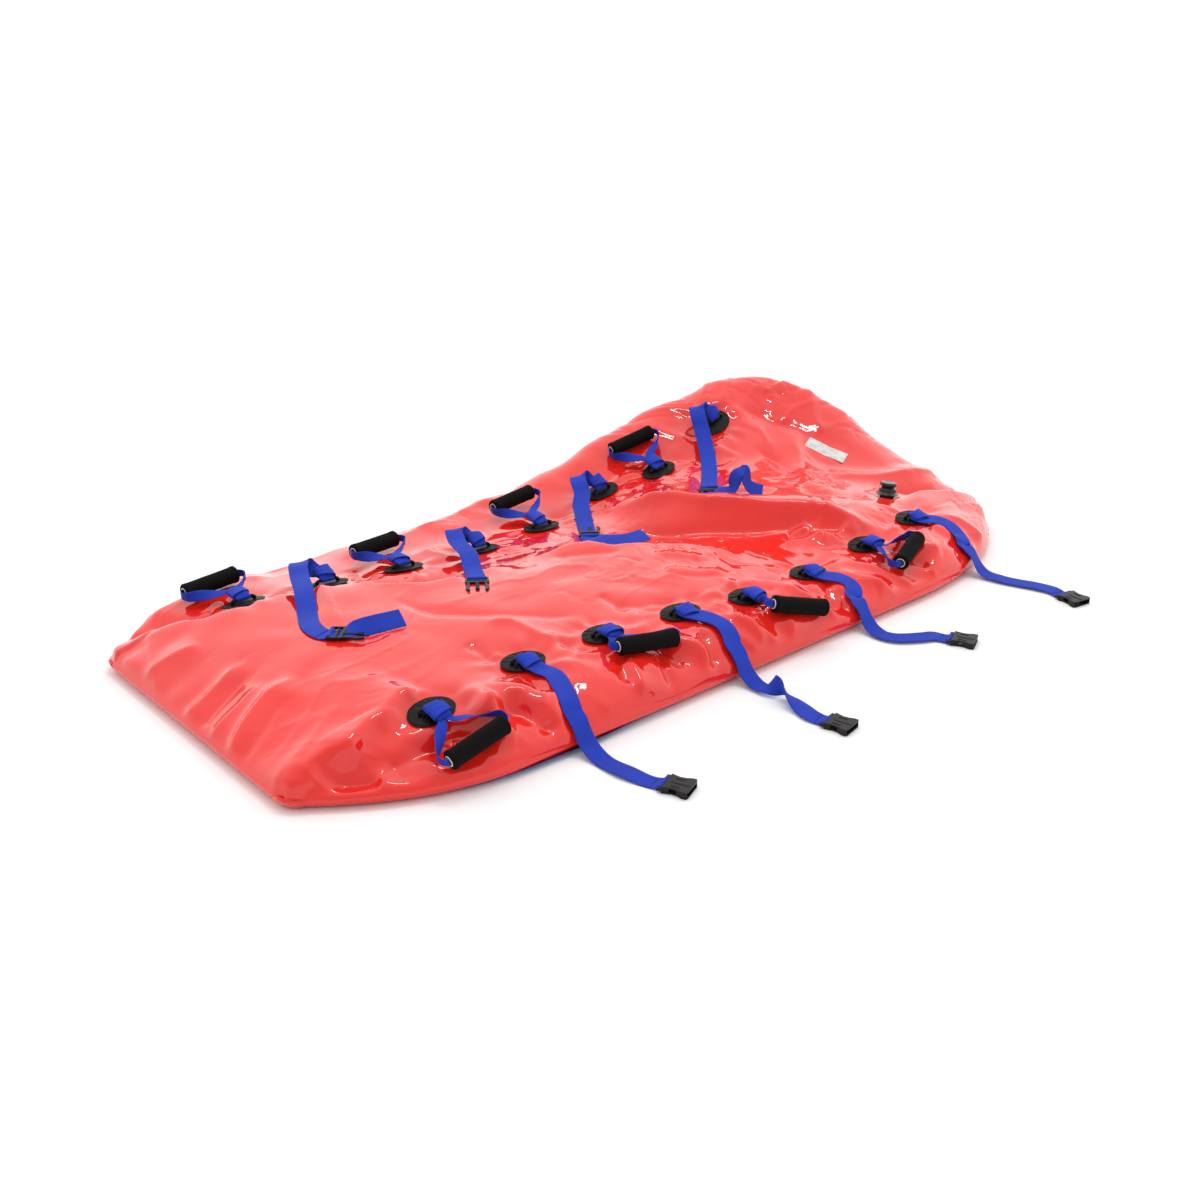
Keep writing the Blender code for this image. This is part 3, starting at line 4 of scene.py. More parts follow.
import bmesh
import bpy
import numpy as np
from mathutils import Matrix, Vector


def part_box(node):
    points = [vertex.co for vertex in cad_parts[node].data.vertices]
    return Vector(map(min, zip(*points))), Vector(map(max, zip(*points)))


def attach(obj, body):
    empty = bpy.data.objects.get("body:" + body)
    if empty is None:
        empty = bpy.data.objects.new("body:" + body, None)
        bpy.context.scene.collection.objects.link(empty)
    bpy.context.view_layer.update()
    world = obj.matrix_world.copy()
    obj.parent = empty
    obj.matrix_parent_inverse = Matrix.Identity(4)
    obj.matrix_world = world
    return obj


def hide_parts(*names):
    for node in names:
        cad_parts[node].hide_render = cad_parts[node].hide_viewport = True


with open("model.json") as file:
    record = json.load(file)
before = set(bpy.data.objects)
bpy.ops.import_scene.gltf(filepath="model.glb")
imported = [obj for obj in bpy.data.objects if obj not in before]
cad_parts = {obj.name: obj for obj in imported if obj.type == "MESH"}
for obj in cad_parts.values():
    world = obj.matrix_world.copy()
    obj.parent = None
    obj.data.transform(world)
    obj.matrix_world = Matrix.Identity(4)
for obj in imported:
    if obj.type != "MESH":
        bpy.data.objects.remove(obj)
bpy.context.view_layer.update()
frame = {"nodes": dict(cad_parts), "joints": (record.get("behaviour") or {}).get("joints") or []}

bl_info = {
    "name": "Vacuum mattress",
    "version": (1, 0, 0),
    "blender": (4, 5, 0),
    "location": "3D View > Sidebar > Mattress",
    "description": "Bead-filled rescue mattress with carry handles, patient straps and a valve",
    "category": "Add Mesh",
}

NODES = frame["nodes"]
JOINTS = {joint["name"]: joint for joint in frame["joints"]}
SIDES = ("near", "far")

# Plan of the bag, foot end at -X, far side at +Y, in metres
HALF_LENGTH = 1.000
HALF_WIDTHS = {"near": 0.487, "far": 0.505}
HEAD_ROUNDNESS = {"near": 2.15, "far": 3.0}
FOOT_CORNER_AT = 0.305
FOOT_CORNER_RADIUS = 0.045
FOOT_CORNER_SWEEP = 70.0
FOOT_TAPER_END = -0.620
HEAD_ARC_START = 0.420

# Section of the bag
SEAM_HEIGHT = 0.018
SIDE_ROLL = 0.145
FOOT_ROLL = 0.330
FOOT_ROLL_AT = -0.800
FOOT_ROLL_BLEND = 0.050
# How much the lines of points rise where the skin rolls down at the ends and at the sides
END_DROP = 0.09
SIDE_DROP = 0.20
# The top skin's hem below the seam: how far in from the edge, and height
HEM = (
    (0.0015, 0.0152), (0.003, 0.012), (0.006, 0.009), (0.009, 0.006), (0.0125, 0.0030), (0.0165, 0.0012),
)
# The bottom skin's flange: how far in, height, and how much of the peeping out it takes part in
UNDERSIDE = ((0.0045, 0.0105, 1.0), (0.0105, 0.0049, 0.9), (0.019, 0.0015, 0.5), (0.034, 0.0, 0.0))
# Where along the near edge the bottom skin peeps out, over how much of it, how far, and how high
# the hem is raised there
SHOWS_AT = -0.53
SHOWS_OVER = 0.12
SHOWS_BY = 0.0075
SHOWS_RAISED = 0.006
# Points round the bag's edge, for distances to it and for the bottom skin
EDGE_COARSE = 160
EDGE_FINE = 720

# How high the beads lie, foot to head, each row from the near side to the far side
BEAD_STATIONS = (-1.0, -0.85, -0.65, -0.35, -0.10, 0.12, 0.32, 0.50, 0.70, 0.90, 1.0)
BEAD_ACROSS = (-1.0, -0.66, -0.33, 0.0, 0.33, 0.66, 1.0)
BEAD_HEIGHTS = (
    (0.075, 0.085, 0.090, 0.090, 0.085, 0.070, 0.060),
    (0.085, 0.100, 0.108, 0.108, 0.100, 0.078, 0.058),
    (0.095, 0.100, 0.113, 0.115, 0.106, 0.068, 0.050),
    (0.095, 0.098, 0.108, 0.105, 0.088, 0.062, 0.050),
    (0.095, 0.098, 0.103, 0.096, 0.076, 0.058, 0.060),
    (0.090, 0.092, 0.092, 0.086, 0.076, 0.070, 0.110),
    (0.085, 0.085, 0.098, 0.118, 0.110, 0.115, 0.200),
    (0.090, 0.090, 0.118, 0.115, 0.125, 0.170, 0.262),
    (0.085, 0.092, 0.086, 0.085, 0.140, 0.230, 0.310),
    (0.070, 0.075, 0.070, 0.095, 0.165, 0.242, 0.308),
    (0.060, 0.065, 0.070, 0.110, 0.170, 0.230, 0.288),
)

# How round the crest of a fold is, the share of its line over which either end fades, and the
# share of its reach at which it has fallen to 1/e
CREST_RADIUS = 0.0055
FOLD_FADE = 0.22
FOLD_FALL = 0.8
# Folds of the skin: height, reach to the left, reach to the right, then the line in plan
FOLDS = (
    (0.011, 0.06, 0.06, ((0.74, 0.395), (0.8, 0.335), (0.85, 0.26), (0.9, 0.18), (0.94, 0.1))),
    (-0.02, 0.06, 0.06, ((0.44, 0.48), (0.54, 0.45), (0.62, 0.43), (0.69, 0.43), (0.76, 0.44))),
    (0.016, 0.06, 0.06, ((-0.46, 0.4), (-0.38, 0.4), (-0.29, 0.405), (-0.2, 0.42), (-0.1, 0.44),
        (0.0, 0.455), (0.08, 0.46))),
    (0.014, 0.04, 0.04, ((-0.88, 0.4), (-0.94, 0.37), (-0.975, 0.335), (-0.985, 0.28), (-0.985, 0.2))),
    (0.014, 0.05, 0.03, ((0.64, 0.01), (0.72, -0.03), (0.79, -0.07), (0.86, -0.1), (0.93, -0.11),
        (0.98, -0.11))),
    (0.04, 0.12, 0.036, ((0.13, 0.2), (0.181, 0.128), (0.228, 0.06), (0.257, -0.008), (0.31, -0.071),
        (0.381, -0.164), (0.446, -0.258), (0.51, -0.33))),
    (-0.026, 0.026, 0.08, ((0.06, 0.11), (0.115, 0.05), (0.164, -0.008), (0.224, -0.068), (0.271, -0.11),
        (0.321, -0.15), (0.375, -0.2), (0.42, -0.25))),
    (0.012, 0.03, 0.08, ((-0.2, 0.07), (-0.118, 0.05), (-0.043, 0.008), (0.039, -0.049), (0.1, -0.11),
        (0.131, -0.17), (0.15, -0.24))),
    (-0.016, 0.03, 0.05, ((0.43, -0.11), (0.482, -0.12), (0.53, -0.145), (0.588, -0.145), (0.712, -0.145),
        (0.8, -0.165), (0.87, -0.195))),
    (-0.026, 0.03, 0.04, ((0.7, -0.14), (0.76, -0.15), (0.81, -0.168), (0.87, -0.19), (0.93, -0.2),
        (0.98, -0.21))),
    (0.018, 0.05, 0.07, ((0.64, -0.2), (0.74, -0.215), (0.84, -0.24), (0.9, -0.255), (0.96, -0.27))),
    (0.012, 0.06, 0.016, ((0.78, 0.2), (0.7, 0.13), (0.648, 0.063), (0.575, -0.01), (0.519, -0.073),
        (0.459, -0.12))),
    (-0.01, 0.016, 0.05, ((0.6, 0.18), (0.62, 0.11), (0.6, 0.05), (0.56, 0.0))),
    (0.018, 0.06, 0.02, ((-0.995, -0.355), (-0.978, -0.348), (-0.958, -0.335), (-0.928, -0.322),
        (-0.9, -0.324), (-0.878, -0.34), (-0.87, -0.36))),
    (0.022, 0.07, 0.02, ((-0.885, -0.37), (-0.875, -0.347), (-0.858, -0.333), (-0.823, -0.323),
        (-0.778, -0.318), (-0.73, -0.3), (-0.69, -0.29))),
    (-0.02, 0.034, 0.04, ((-0.975, -0.385), (-0.93, -0.378), (-0.89, -0.39), (-0.86, -0.415))),
    (-0.024, 0.036, 0.046, ((-0.87, -0.4), (-0.83, -0.392), (-0.79, -0.4), (-0.74, -0.41), (-0.69, -0.42),
        (-0.65, -0.44))),
    (0.014, 0.05, 0.018, ((-0.7, -0.4), (-0.655, -0.402), (-0.61, -0.395), (-0.575, -0.418),
        (-0.548, -0.44), (-0.53, -0.47))),
    (0.012, 0.022, 0.1, ((-0.98, 0.32), (-0.925, 0.31), (-0.889, 0.29), (-0.838, 0.245), (-0.756, 0.215),
        (-0.672, 0.2), (-0.6, 0.195), (-0.54, 0.15))),
    (-0.02, 0.04, 0.022, ((-0.99, 0.4), (-0.94, 0.36), (-0.88, 0.325), (-0.82, 0.285), (-0.76, 0.255),
        (-0.68, 0.245), (-0.62, 0.24))),
    (0.016, 0.04, 0.06, ((-0.9, 0.36), (-0.85, 0.39), (-0.76, 0.4), (-0.66, 0.41), (-0.58, 0.42))),
    (0.009, 0.018, 0.06, ((-0.56, 0.2), (-0.54, 0.15), (-0.506, 0.1), (-0.45, 0.068), (-0.387, 0.05),
        (-0.32, 0.055), (-0.24, 0.06))),
    (-0.016, 0.045, 0.018, ((-0.52, 0.21), (-0.48, 0.14), (-0.43, 0.11), (-0.37, 0.105), (-0.3, 0.12),
        (-0.24, 0.11))),
    (-0.007, 0.03, 0.012, ((-0.54, 0.05), (-0.528, -0.02), (-0.516, -0.064), (-0.446, -0.142),
        (-0.355, -0.198), (-0.29, -0.24))),
    (0.006, 0.025, 0.012, ((-0.48, -0.16), (-0.434, -0.192), (-0.423, -0.262), (-0.406, -0.297))),
    (0.008, 0.016, 0.04, ((-1.05, 0.01), (-1.0, 0.008), (-0.96, 0.006), (-0.915, 0.014), (-0.86, 0.035))),
    (-0.006, 0.022, 0.02, ((-1.05, -0.04), (-0.98, -0.04), (-0.93, -0.025), (-0.87, -0.005))),
    (0.007, 0.014, 0.036, ((-1.05, -0.08), (-0.99, -0.085), (-0.93, -0.08), (-0.87, -0.06))),
    (0.01, 0.018, 0.04, ((-1.05, -0.17), (-0.99, -0.152), (-0.944, -0.132), (-0.895, -0.115),
        (-0.83, -0.105))),
    (-0.007, 0.026, 0.026, ((-1.05, -0.21), (-0.97, -0.185), (-0.92, -0.165), (-0.86, -0.15))),
    (0.008, 0.03, 0.03, ((-0.995, 0.18), (-0.94, 0.17), (-0.88, 0.15))),
    (0.008, 0.02, 0.04, ((0.9, 0.3), (0.86, 0.235), (0.814, 0.167), (0.8, 0.12), (0.79, 0.05))),
    (-0.01, 0.024, 0.05, ((0.648, 0.311), (0.71, 0.237), (0.76, 0.17), (0.77, 0.12))),
    (0.008, 0.03, 0.02, ((0.42, 0.42), (0.46, 0.34), (0.5, 0.25), (0.52, 0.17))),
    (-0.008, 0.03, 0.02, ((0.3, 0.33), (0.38, 0.3), (0.45, 0.21), (0.47, 0.12))),
    (0.01, 0.012, 0.03, ((0.23, -0.4), (0.275, -0.435), (0.33, -0.47))),
    (0.014, 0.016, 0.024, ((0.45, -0.37), (0.49, -0.41), (0.53, -0.45))),
    (-0.014, 0.02, 0.02, ((0.43, -0.39), (0.45, -0.43), (0.48, -0.465))),
    (0.012, 0.03, 0.022, ((0.262, -0.215), (0.31, -0.235), (0.35, -0.262), (0.385, -0.3))),
    (-0.012, 0.016, 0.024, ((0.3, -0.19), (0.345, -0.215), (0.385, -0.24), (0.42, -0.275))),
    (0.01, 0.014, 0.014, ((0.34, -0.18), (0.36, -0.215), (0.35, -0.262), (0.33, -0.3))),
    (0.009, 0.025, 0.02, ((0.08, 0.24), (0.13, 0.2), (0.19, 0.16), (0.24, 0.14))),
    (-0.01, 0.025, 0.02, ((0.02, 0.3), (0.08, 0.27), (0.13, 0.23), (0.2, 0.2))),
    (0.008, 0.03, 0.016, ((-0.3, 0.3), (-0.3, 0.24), (-0.25, 0.16))),
    (-0.008, 0.03, 0.024, ((-0.46, 0.33), (-0.47, 0.27), (-0.48, 0.18))),
    (0.007, 0.02, 0.014, ((-0.05, -0.18), (0.0, -0.23), (0.06, -0.27))),
    (-0.006, 0.016, 0.022, ((-0.22, -0.23), (-0.18, -0.265), (-0.1, -0.3))),
    (0.006, 0.02, 0.014, ((0.0, -0.1), (0.04, -0.15), (0.06, -0.2))),
    (-0.011, 0.02, 0.018, ((-0.28, -0.38), (-0.26, -0.42), (-0.24, -0.47))),
    (0.012, 0.022, 0.016, ((-0.25, -0.385), (-0.21, -0.43), (-0.18, -0.47))),
    (0.01, 0.018, 0.014, ((-0.08, -0.4), (-0.06, -0.44), (-0.05, -0.48))),
    (0.018, 0.055, 0.016, ((-0.691, -0.411), (-0.658, -0.399), (-0.626, -0.39), (-0.593, -0.386),
        (-0.576, -0.396), (-0.575, -0.425), (-0.573, -0.45), (-0.546, -0.456), (-0.521, -0.468))),
    (-0.024, 0.034, 0.036, ((-0.641, -0.403), (-0.609, -0.404), (-0.587, -0.423), (-0.574, -0.461),
        (-0.544, -0.479))),
    (-0.016, 0.012, 0.024, ((-0.548, -0.421), (-0.531, -0.387), (-0.51, -0.355), (-0.489, -0.321))),
    (-0.012, 0.012, 0.014, ((-0.385, -0.464), (-0.36, -0.415), (-0.347, -0.385))),
    (0.009, 0.016, 0.014, ((-0.369, -0.478), (-0.352, -0.433), (-0.347, -0.406))),
    (-0.01, 0.01, 0.014, ((-0.305, -0.513), (-0.289, -0.46), (-0.279, -0.418))),
    (-0.012, 0.01, 0.014, ((-0.193, -0.502), (-0.171, -0.449), (-0.16, -0.405))),
    (-0.014, 0.012, 0.016, ((0.159, -0.477), (0.188, -0.428), (0.207, -0.391))),
    (-0.014, 0.012, 0.016, ((0.166, -0.532), (0.194, -0.477), (0.216, -0.426))),
    (0.01, 0.016, 0.014, ((-0.003, -0.536), (0.022, -0.486), (0.034, -0.445))),
    (-0.005, 0.01, 0.016, ((-0.402, -0.282), (-0.397, -0.303), (-0.391, -0.325), (-0.388, -0.365))),
    (-0.005, 0.012, 0.01, ((-0.22, -0.271), (-0.216, -0.232), (-0.216, -0.207), (-0.218, -0.187))),
    (-0.006, 0.012, 0.01, ((-0.547, -0.202), (-0.543, -0.222), (-0.542, -0.244), (-0.54, -0.277))),
    (0.005, 0.014, 0.008, ((-0.423, -0.352), (-0.406, -0.362), (-0.386, -0.374), (-0.357, -0.368))),
    (-0.006, 0.02, 0.01, ((-0.163, 0.035), (-0.124, -0.006), (-0.078, -0.032), (-0.028, -0.054))),
)

# Noise that bends the other noises: how far, its cell and the seeds along and across
BEND = 0.05
BEND_CELL = 0.16
BEND_SEEDS = (3, 4)
# Soft dents: height, cell and seed
DENTS = ((0.0045, 0.15, 11), (0.0022, 0.07, 12))
# Small creases: height, cell, seed, how the lattice is turned, where a crease starts, and the cell,
# seed and range of the noise that lets it show
CREASES = (
    (0.0028, 0.085, 13, (0.7, 0.5, -0.6, 1.7), 0.70, (0.22, 14, -0.2, 0.6)),
    (0.0014, 0.045, 15, (1.6, -0.4, 0.5, 0.9), 0.85, (0.18, 16, 0.0, 0.6)),
    (-0.0022, 0.060, 17, (0.9, 1.3, -1.5, 1.2), 0.86, (0.13, 18, -0.1, 0.5)),
)
# Where along the bag the creases come to their full height, and how much there is of them before
LIVELY_RANGE = (-0.45, 0.30)
LIVELY_SHARES = (0.35, 0.65)

# Puckers round a patch: rays as count, phase from patch to patch and share, their height, the ring
# where they are strongest and how fast they fade, then the dip round the patch
PUCKER_RAYS = ((7.0, 1.3, 1.0), (11.0, 2.1, 0.6))
PUCKER_HEIGHT = 0.0018
PUCKER_FROM = (1.05, 1.5)
PUCKER_PEAK = 1.4
PUCKER_FADE = 1.1
PUCKER_DIP = 0.0035
PUCKER_DIP_FADE = 0.8

# Pleats of the walls: cell, seed and slant of the wide, fine and sharp ones, then how they wander
PLEAT_WIDE = (0.085, 23, 0.5)
PLEAT_FINE = (0.038, 22, 0.35)
PLEAT_SHARP = (0.062, 24, 0.3)
PLEAT_SHARP_LEAN = 0.6
PLEAT_SHARPNESS = 2.2
PLEAT_WANDER = 0.05
WANDER_CELL = 0.30
WANDER_SEED = 21
# Their heights, the wide ones' along the far side too, and where they start and end from the edge
PLEAT_HEIGHTS = (0.0055, 0.0022, 0.0065)
PLEAT_FAR_EXTRA = 0.0055
PLEAT_STARTS = 0.012
PLEAT_ENDS = (0.07, 0.17)
# Beyond this half width they run along the bag, and within it across
PLEAT_TURNS_AT = 0.30
FAR_SIDE_RANGE = (0.15, 0.30)
NEAR_SIDE_RANGE = (0.25, 0.40)

# Where the skin keeps clear of fittings: room below them, a rise too great to be one, from how far
# below it is looked for, and how a dip is spread
SKIN_CLEARANCE = 0.0004
GREATEST_RISE = 0.08
LOOK_FROM = -0.5
SPREAD_ROUNDS = 30
SPREAD_KEEPS = 0.985

# Routes of the near straps from patch bar to buckle: the middle of the webbing in metres, then the
# way it faces sideways
NEAR_ROUTES = (
    (
        (-0.5039, -0.3239, 0.1069, 1.0, 0.0, -0.02), (-0.504, -0.3394, 0.1067, 0.97, 0.23, 0.08),
        (-0.4999, -0.3522, 0.1015, 0.95, 0.31, 0.02), (-0.4919, -0.3845, 0.0982, 1.0, 0.01, 0.0),
        (-0.4992, -0.4154, 0.0904, 0.95, -0.31, -0.09), (-0.5114, -0.4539, 0.0738, 0.93, -0.3, -0.21),
        (-0.5139, -0.4618, 0.066, 0.93, -0.29, -0.24), (-0.5139, -0.473, 0.0575, 1.0, 0.0, 0.0),
        (-0.5139, -0.506, 0.0161, 1.0, 0.0, 0.0), (-0.5139, -0.527, 0.0064, 1.0, -0.01, 0.0),
        (-0.5107, -0.5951, 0.006, 0.99, 0.17, 0.0), (-0.4915, -0.6548, 0.0039, 0.92, 0.39, 0.0),
    ),
    (
        (-0.1459, -0.3518, 0.1039, 1.0, 0.0, -0.01), (-0.1471, -0.3553, 0.1037, 0.97, -0.25, -0.03),
        (-0.146, -0.3673, 0.1037, 0.82, 0.56, 0.12), (-0.1372, -0.3763, 0.1013, 0.68, 0.71, 0.18),
        (-0.1159, -0.3984, 0.0938, 0.87, 0.49, 0.12), (-0.1111, -0.4228, 0.0881, 1.0, 0.01, 0.0),
        (-0.1152, -0.4452, 0.0777, 0.91, -0.37, -0.18), (-0.1239, -0.4618, 0.0663, 0.82, -0.45, -0.36),
        (-0.1239, -0.473, 0.0579, 1.0, 0.0, 0.0), (-0.1239, -0.506, 0.0161, 1.0, 0.0, 0.0),
        (-0.1239, -0.527, 0.0064, 1.0, 0.0, 0.0), (-0.1238, -0.5377, 0.006, 1.0, 0.0, 0.0),
        (-0.1239, -0.553, 0.0152, 0.88, -0.01, 0.47), (-0.1242, -0.5798, 0.025, 0.0, 0.0, 1.0),
        (-0.1255, -0.6105, 0.015, -0.88, 0.08, 0.47), (-0.1299, -0.6432, 0.006, -0.99, 0.15, 0.0),
        (-0.1342, -0.6687, 0.0052, -1.0, 0.04, 0.0), (-0.1293, -0.6914, 0.0039, -0.98, -0.21, 0.0),
    ),
    (
        (0.2002, -0.3677, 0.0944, 1.0, 0.0, -0.05), (0.199, -0.3713, 0.0944, 0.96, -0.27, -0.07),
        (0.2002, -0.3832, 0.0931, 0.75, 0.64, 0.16), (0.2236, -0.4004, 0.0851, 0.61, 0.78, 0.14),
        (0.2343, -0.4102, 0.0832, 0.78, 0.62, 0.12), (0.2423, -0.4422, 0.0715, 0.94, -0.3, -0.15),
        (0.2369, -0.4504, 0.0683, 0.69, -0.63, -0.36), (0.2223, -0.4618, 0.0605, 0.51, -0.69, -0.51),
        (0.2223, -0.473, 0.0566, 1.0, 0.0, 0.0), (0.2223, -0.5157, 0.0101, 1.0, 0.0, 0.0),
        (0.2201, -0.5391, 0.006, 1.0, 0.0, 0.0), (0.2223, -0.553, 0.0063, 0.89, 0.46, 0.0),
        (0.2785, -0.6026, 0.006, 0.49, 0.87, 0.0), (0.2966, -0.6118, 0.0052, 0.66, 0.75, 0.0),
        (0.3021, -0.6236, 0.0036, 0.91, 0.42, 0.0), (0.3064, -0.6329, 0.0039, 0.91, 0.42, 0.0),
    ),
    (
        (0.5971, -0.324, 0.0998, 1.0, 0.0, -0.02), (0.5957, -0.3275, 0.0995, 0.95, -0.31, -0.04),
        (0.5971, -0.3394, 0.0981, 0.7, 0.7, 0.15), (0.6084, -0.3468, 0.0971, 0.51, 0.85, 0.16),
        (0.6351, -0.3665, 0.0908, 0.88, 0.47, 0.1), (0.638, -0.3817, 0.0874, 1.0, 0.04, -0.02),
        (0.6331, -0.4145, 0.0756, 0.93, -0.29, -0.21), (0.621, -0.4368, 0.0684, 0.74, -0.52, -0.42),
        (0.616, -0.4436, 0.062, 0.71, -0.52, -0.48), (0.6182, -0.4546, 0.0566, 0.98, 0.2, 0.0),
        (0.6269, -0.4963, 0.0101, 0.98, 0.2, 0.0), (0.6345, -0.5329, 0.0063, 0.95, 0.32, 0.0),
        (0.6628, -0.6161, 0.006, 0.97, 0.24, 0.0), (0.6681, -0.6394, 0.0052, 1.0, 0.08, 0.0),
        (0.664, -0.6623, 0.0039, 0.98, -0.17, 0.0),
    ),
)
# Routes of the far straps from patch bar to buckle
FAR_ROUTES = (
    (
        (-0.5694, 0.2426, 0.1019, 1.0, 0.0, -0.06), (-0.5733, 0.2574, 0.1041, 1.0, -0.08, -0.05),
        (-0.5866, 0.2723, 0.1145, 0.99, -0.15, -0.04), (-0.6036, 0.272, 0.1309, 0.97, -0.23, -0.02),
        (-0.6222, 0.2506, 0.137, 0.95, -0.31, -0.01), (-0.6376, 0.2211, 0.1322, 0.92, -0.38, 0.0),
        (-0.6727, 0.1419, 0.1302, 0.89, -0.45, 0.02), (-0.7017, 0.0839, 0.115, 0.9, -0.43, 0.03),
        (-0.7263, 0.0268, 0.1159, 0.94, -0.33, 0.04), (-0.7286, -0.0142, 0.1165, 0.97, 0.24, 0.03),
        (-0.7268, -0.0209, 0.1165, 0.71, 0.71, 0.01),
    ),
    (
        (-0.2115, 0.216, 0.0891, 1.0, 0.0, -0.05), (-0.2154, 0.2307, 0.0921, 1.0, -0.08, -0.04),
        (-0.2289, 0.2451, 0.103, 0.99, -0.16, -0.03), (-0.2557, 0.2348, 0.1228, 0.96, -0.28, -0.01),
        (-0.2803, 0.1931, 0.1169, 0.92, -0.39, 0.0), (-0.2998, 0.1256, 0.1126, 0.89, -0.46, 0.01),
        (-0.3258, 0.0756, 0.1007, 0.88, -0.47, 0.01), (-0.3537, 0.0243, 0.1065, 0.82, -0.57, 0.0),
    ),
    (
        (0.2019, 0.2954, 0.0999, 0.98, 0.0, 0.19), (0.19, 0.3169, 0.1084, 0.97, -0.15, 0.17),
        (0.1605, 0.3186, 0.1248, 0.94, -0.29, 0.16), (0.1417, 0.2966, 0.1215, 0.91, -0.39, 0.14),
        (0.1293, 0.269, 0.107, 0.87, -0.48, 0.13), (0.101, 0.2398, 0.0935, 0.82, -0.56, 0.11),
        (0.0713, 0.1966, 0.0813, 0.82, -0.56, 0.11), (0.053, 0.1698, 0.0758, 0.82, -0.56, 0.1),
        (-0.0027, 0.0889, 0.0832, 0.75, -0.66, 0.04),
    ),
    (
        (0.5753, 0.2938, 0.1953, 0.96, 0.0, 0.28), (0.5606, 0.3098, 0.2095, 0.96, -0.17, 0.22),
        (0.5299, 0.3033, 0.2221, 0.93, -0.34, 0.15), (0.5139, 0.2828, 0.2092, 0.89, -0.45, 0.09),
        (0.5055, 0.2616, 0.1845, 0.83, -0.55, 0.04), (0.4652, 0.1985, 0.1404, 0.77, -0.64, -0.01),
        (0.4276, 0.1539, 0.1218, 0.75, -0.66, -0.01), (0.3492, 0.0765, 0.1175, 0.73, -0.68, 0.06),
    ),
)
# How far the webbing of each free end is turned up on its edge, in degrees, first and last
TAIL_TILTS = ((-6.0, 34.0), (0.0, 0.0), (-6.0, 22.0), (-6.0, 34.0))
# The free end past each male buckle; the second has none
TAIL_ROUTES = (
    (
        (-0.7138, -0.034, 0.1169, 0.71, 0.71, 0.01), (-0.6773, -0.0563, 0.1174, 0.32, 0.95, 0.0),
        (-0.591, -0.0691, 0.1171, 0.04, 1.0, 0.0),
    ),
    (),
    (
        (-0.0134, 0.0771, 0.0854, 0.75, -0.66, 0.04), (-0.0163, 0.0712, 0.0862, 0.94, -0.35, -0.01),
        (-0.0222, 0.0476, 0.0896, 1.0, -0.08, -0.05), (-0.0117, 0.0143, 0.0945, 0.81, 0.57, -0.11),
        (0.0201, -0.0039, 0.0937, 0.2, 0.98, -0.09), (0.076, -0.006, 0.0909, -0.04, 1.0, -0.04),
    ),
    (
        (0.3366, 0.0629, 0.1174, 0.73, -0.68, 0.06), (0.3329, 0.056, 0.1171, 0.96, -0.27, 0.05),
        (0.3295, 0.0318, 0.1177, 1.0, 0.05, 0.04), (0.3362, 0.0009, 0.1208, 0.93, 0.38, 0.03),
        (0.3482, -0.0156, 0.1649, 0.72, 0.7, 0.06), (0.3544, -0.0209, 0.1719, 0.57, 0.82, 0.06),
        (0.3692, -0.0311, 0.1351, 0.56, 0.83, 0.06), (0.3946, -0.0479, 0.1205, 0.55, 0.83, 0.07),
    ),
)

# Patches: half sizes of the oval, points round it, rings from its middle to its rim, then the
# rings that turn under, and its clearance over the skin
PATCH_HALF = (0.044, 0.031)
PATCH_AROUND = 96
PATCH_RINGS = 22
PATCH_UNDERSIDE = (1.012, 1.008, 0.9, 0.5, 0.0)
PATCH_LIFT = 0.0002
# Crimps at a patch's rim: how many, and the ranges of their widths in radians and their depths
CRIMPS = 17
CRIMP_WIDTHS = (0.035, 0.075)
CRIMP_DEPTHS = (0.0007, 0.0015)
PATCH_SEED = 40
# The bar that webbing loops: half its span, where it bends down, how far, its radius and foot
BAR_HALF_SPAN = 0.0262
BAR_BENDS_AT = 0.0172
BAR_DROP = 0.0052
BAR_RADIUS = 0.0026
BAR_FOOT = 0.0014
BAR_FOOT_RANGE = (0.0170, 0.0215)

# Grips: the bead's place from the end, width and share of the radius, then the rounded end
GRIP_BEAD_AT = 0.006
GRIP_BEAD_WIDTH = 0.005
GRIP_BEAD_SHARE = 0.045
GRIP_WAIST_SHARE = 0.955
GRIP_END_ROUND = 0.0042
GRIP_END_DROP = 0.0035
# The tube's bore, how far it stands out of the foam and its eased lip
TUBE_BORE = 0.0086
TUBE_PROUD = 0.0008
TUBE_EASE = (0.0003, 0.0004)

# Knots: their reach from the bar, points round, and the wrapped bands
HANDLE_KNOT = 0.040
STRAP_KNOT = 0.034
KNOT_AROUND = 48
# Its half height flat and puffed, its half width as shares of the webbing's, and its crumples as
# depth, waves round, phase from knot to knot and waves along
KNOT_TALL = (0.0016, 0.0046)
KNOT_WIDE = (0.50, 0.10, 0.06)
KNOT_CRUMPLES = (0.14, 3.0, 1.3, 170.0)
WRAP_LEAN = 0.42
WRAP_HALF_WIDTH = 0.0088
# Each wrapped band: its place along the knot, its share of the lean and its size
WRAPS = ((0.36, 1.0, 1.10), (0.62, -0.7, 1.06))
# Their middle's height over the bar, half height, and half width as a share of the webbing's width
WRAP_UP = 0.0046
WRAP_TALL = 0.0068
WRAP_WIDE = 0.57

# Radius of the webbing's hoop round a patch bar and round a buckle's bar
PORT_HOOP = 0.0042
BUCKLE_HOOP = 0.0034
# How far from a buckle's bar the middle of a strap's webbing ends
STRAP_END = 0.0036
# Handles: how far from the bar the knot ends, the length over which the legs part, and the room
# that a leg has past the grip's end and beside it
NECK_END = 0.036
NECK = 0.026
LEG_ROOM = 0.0045
LEG_BESIDE = 0.0175

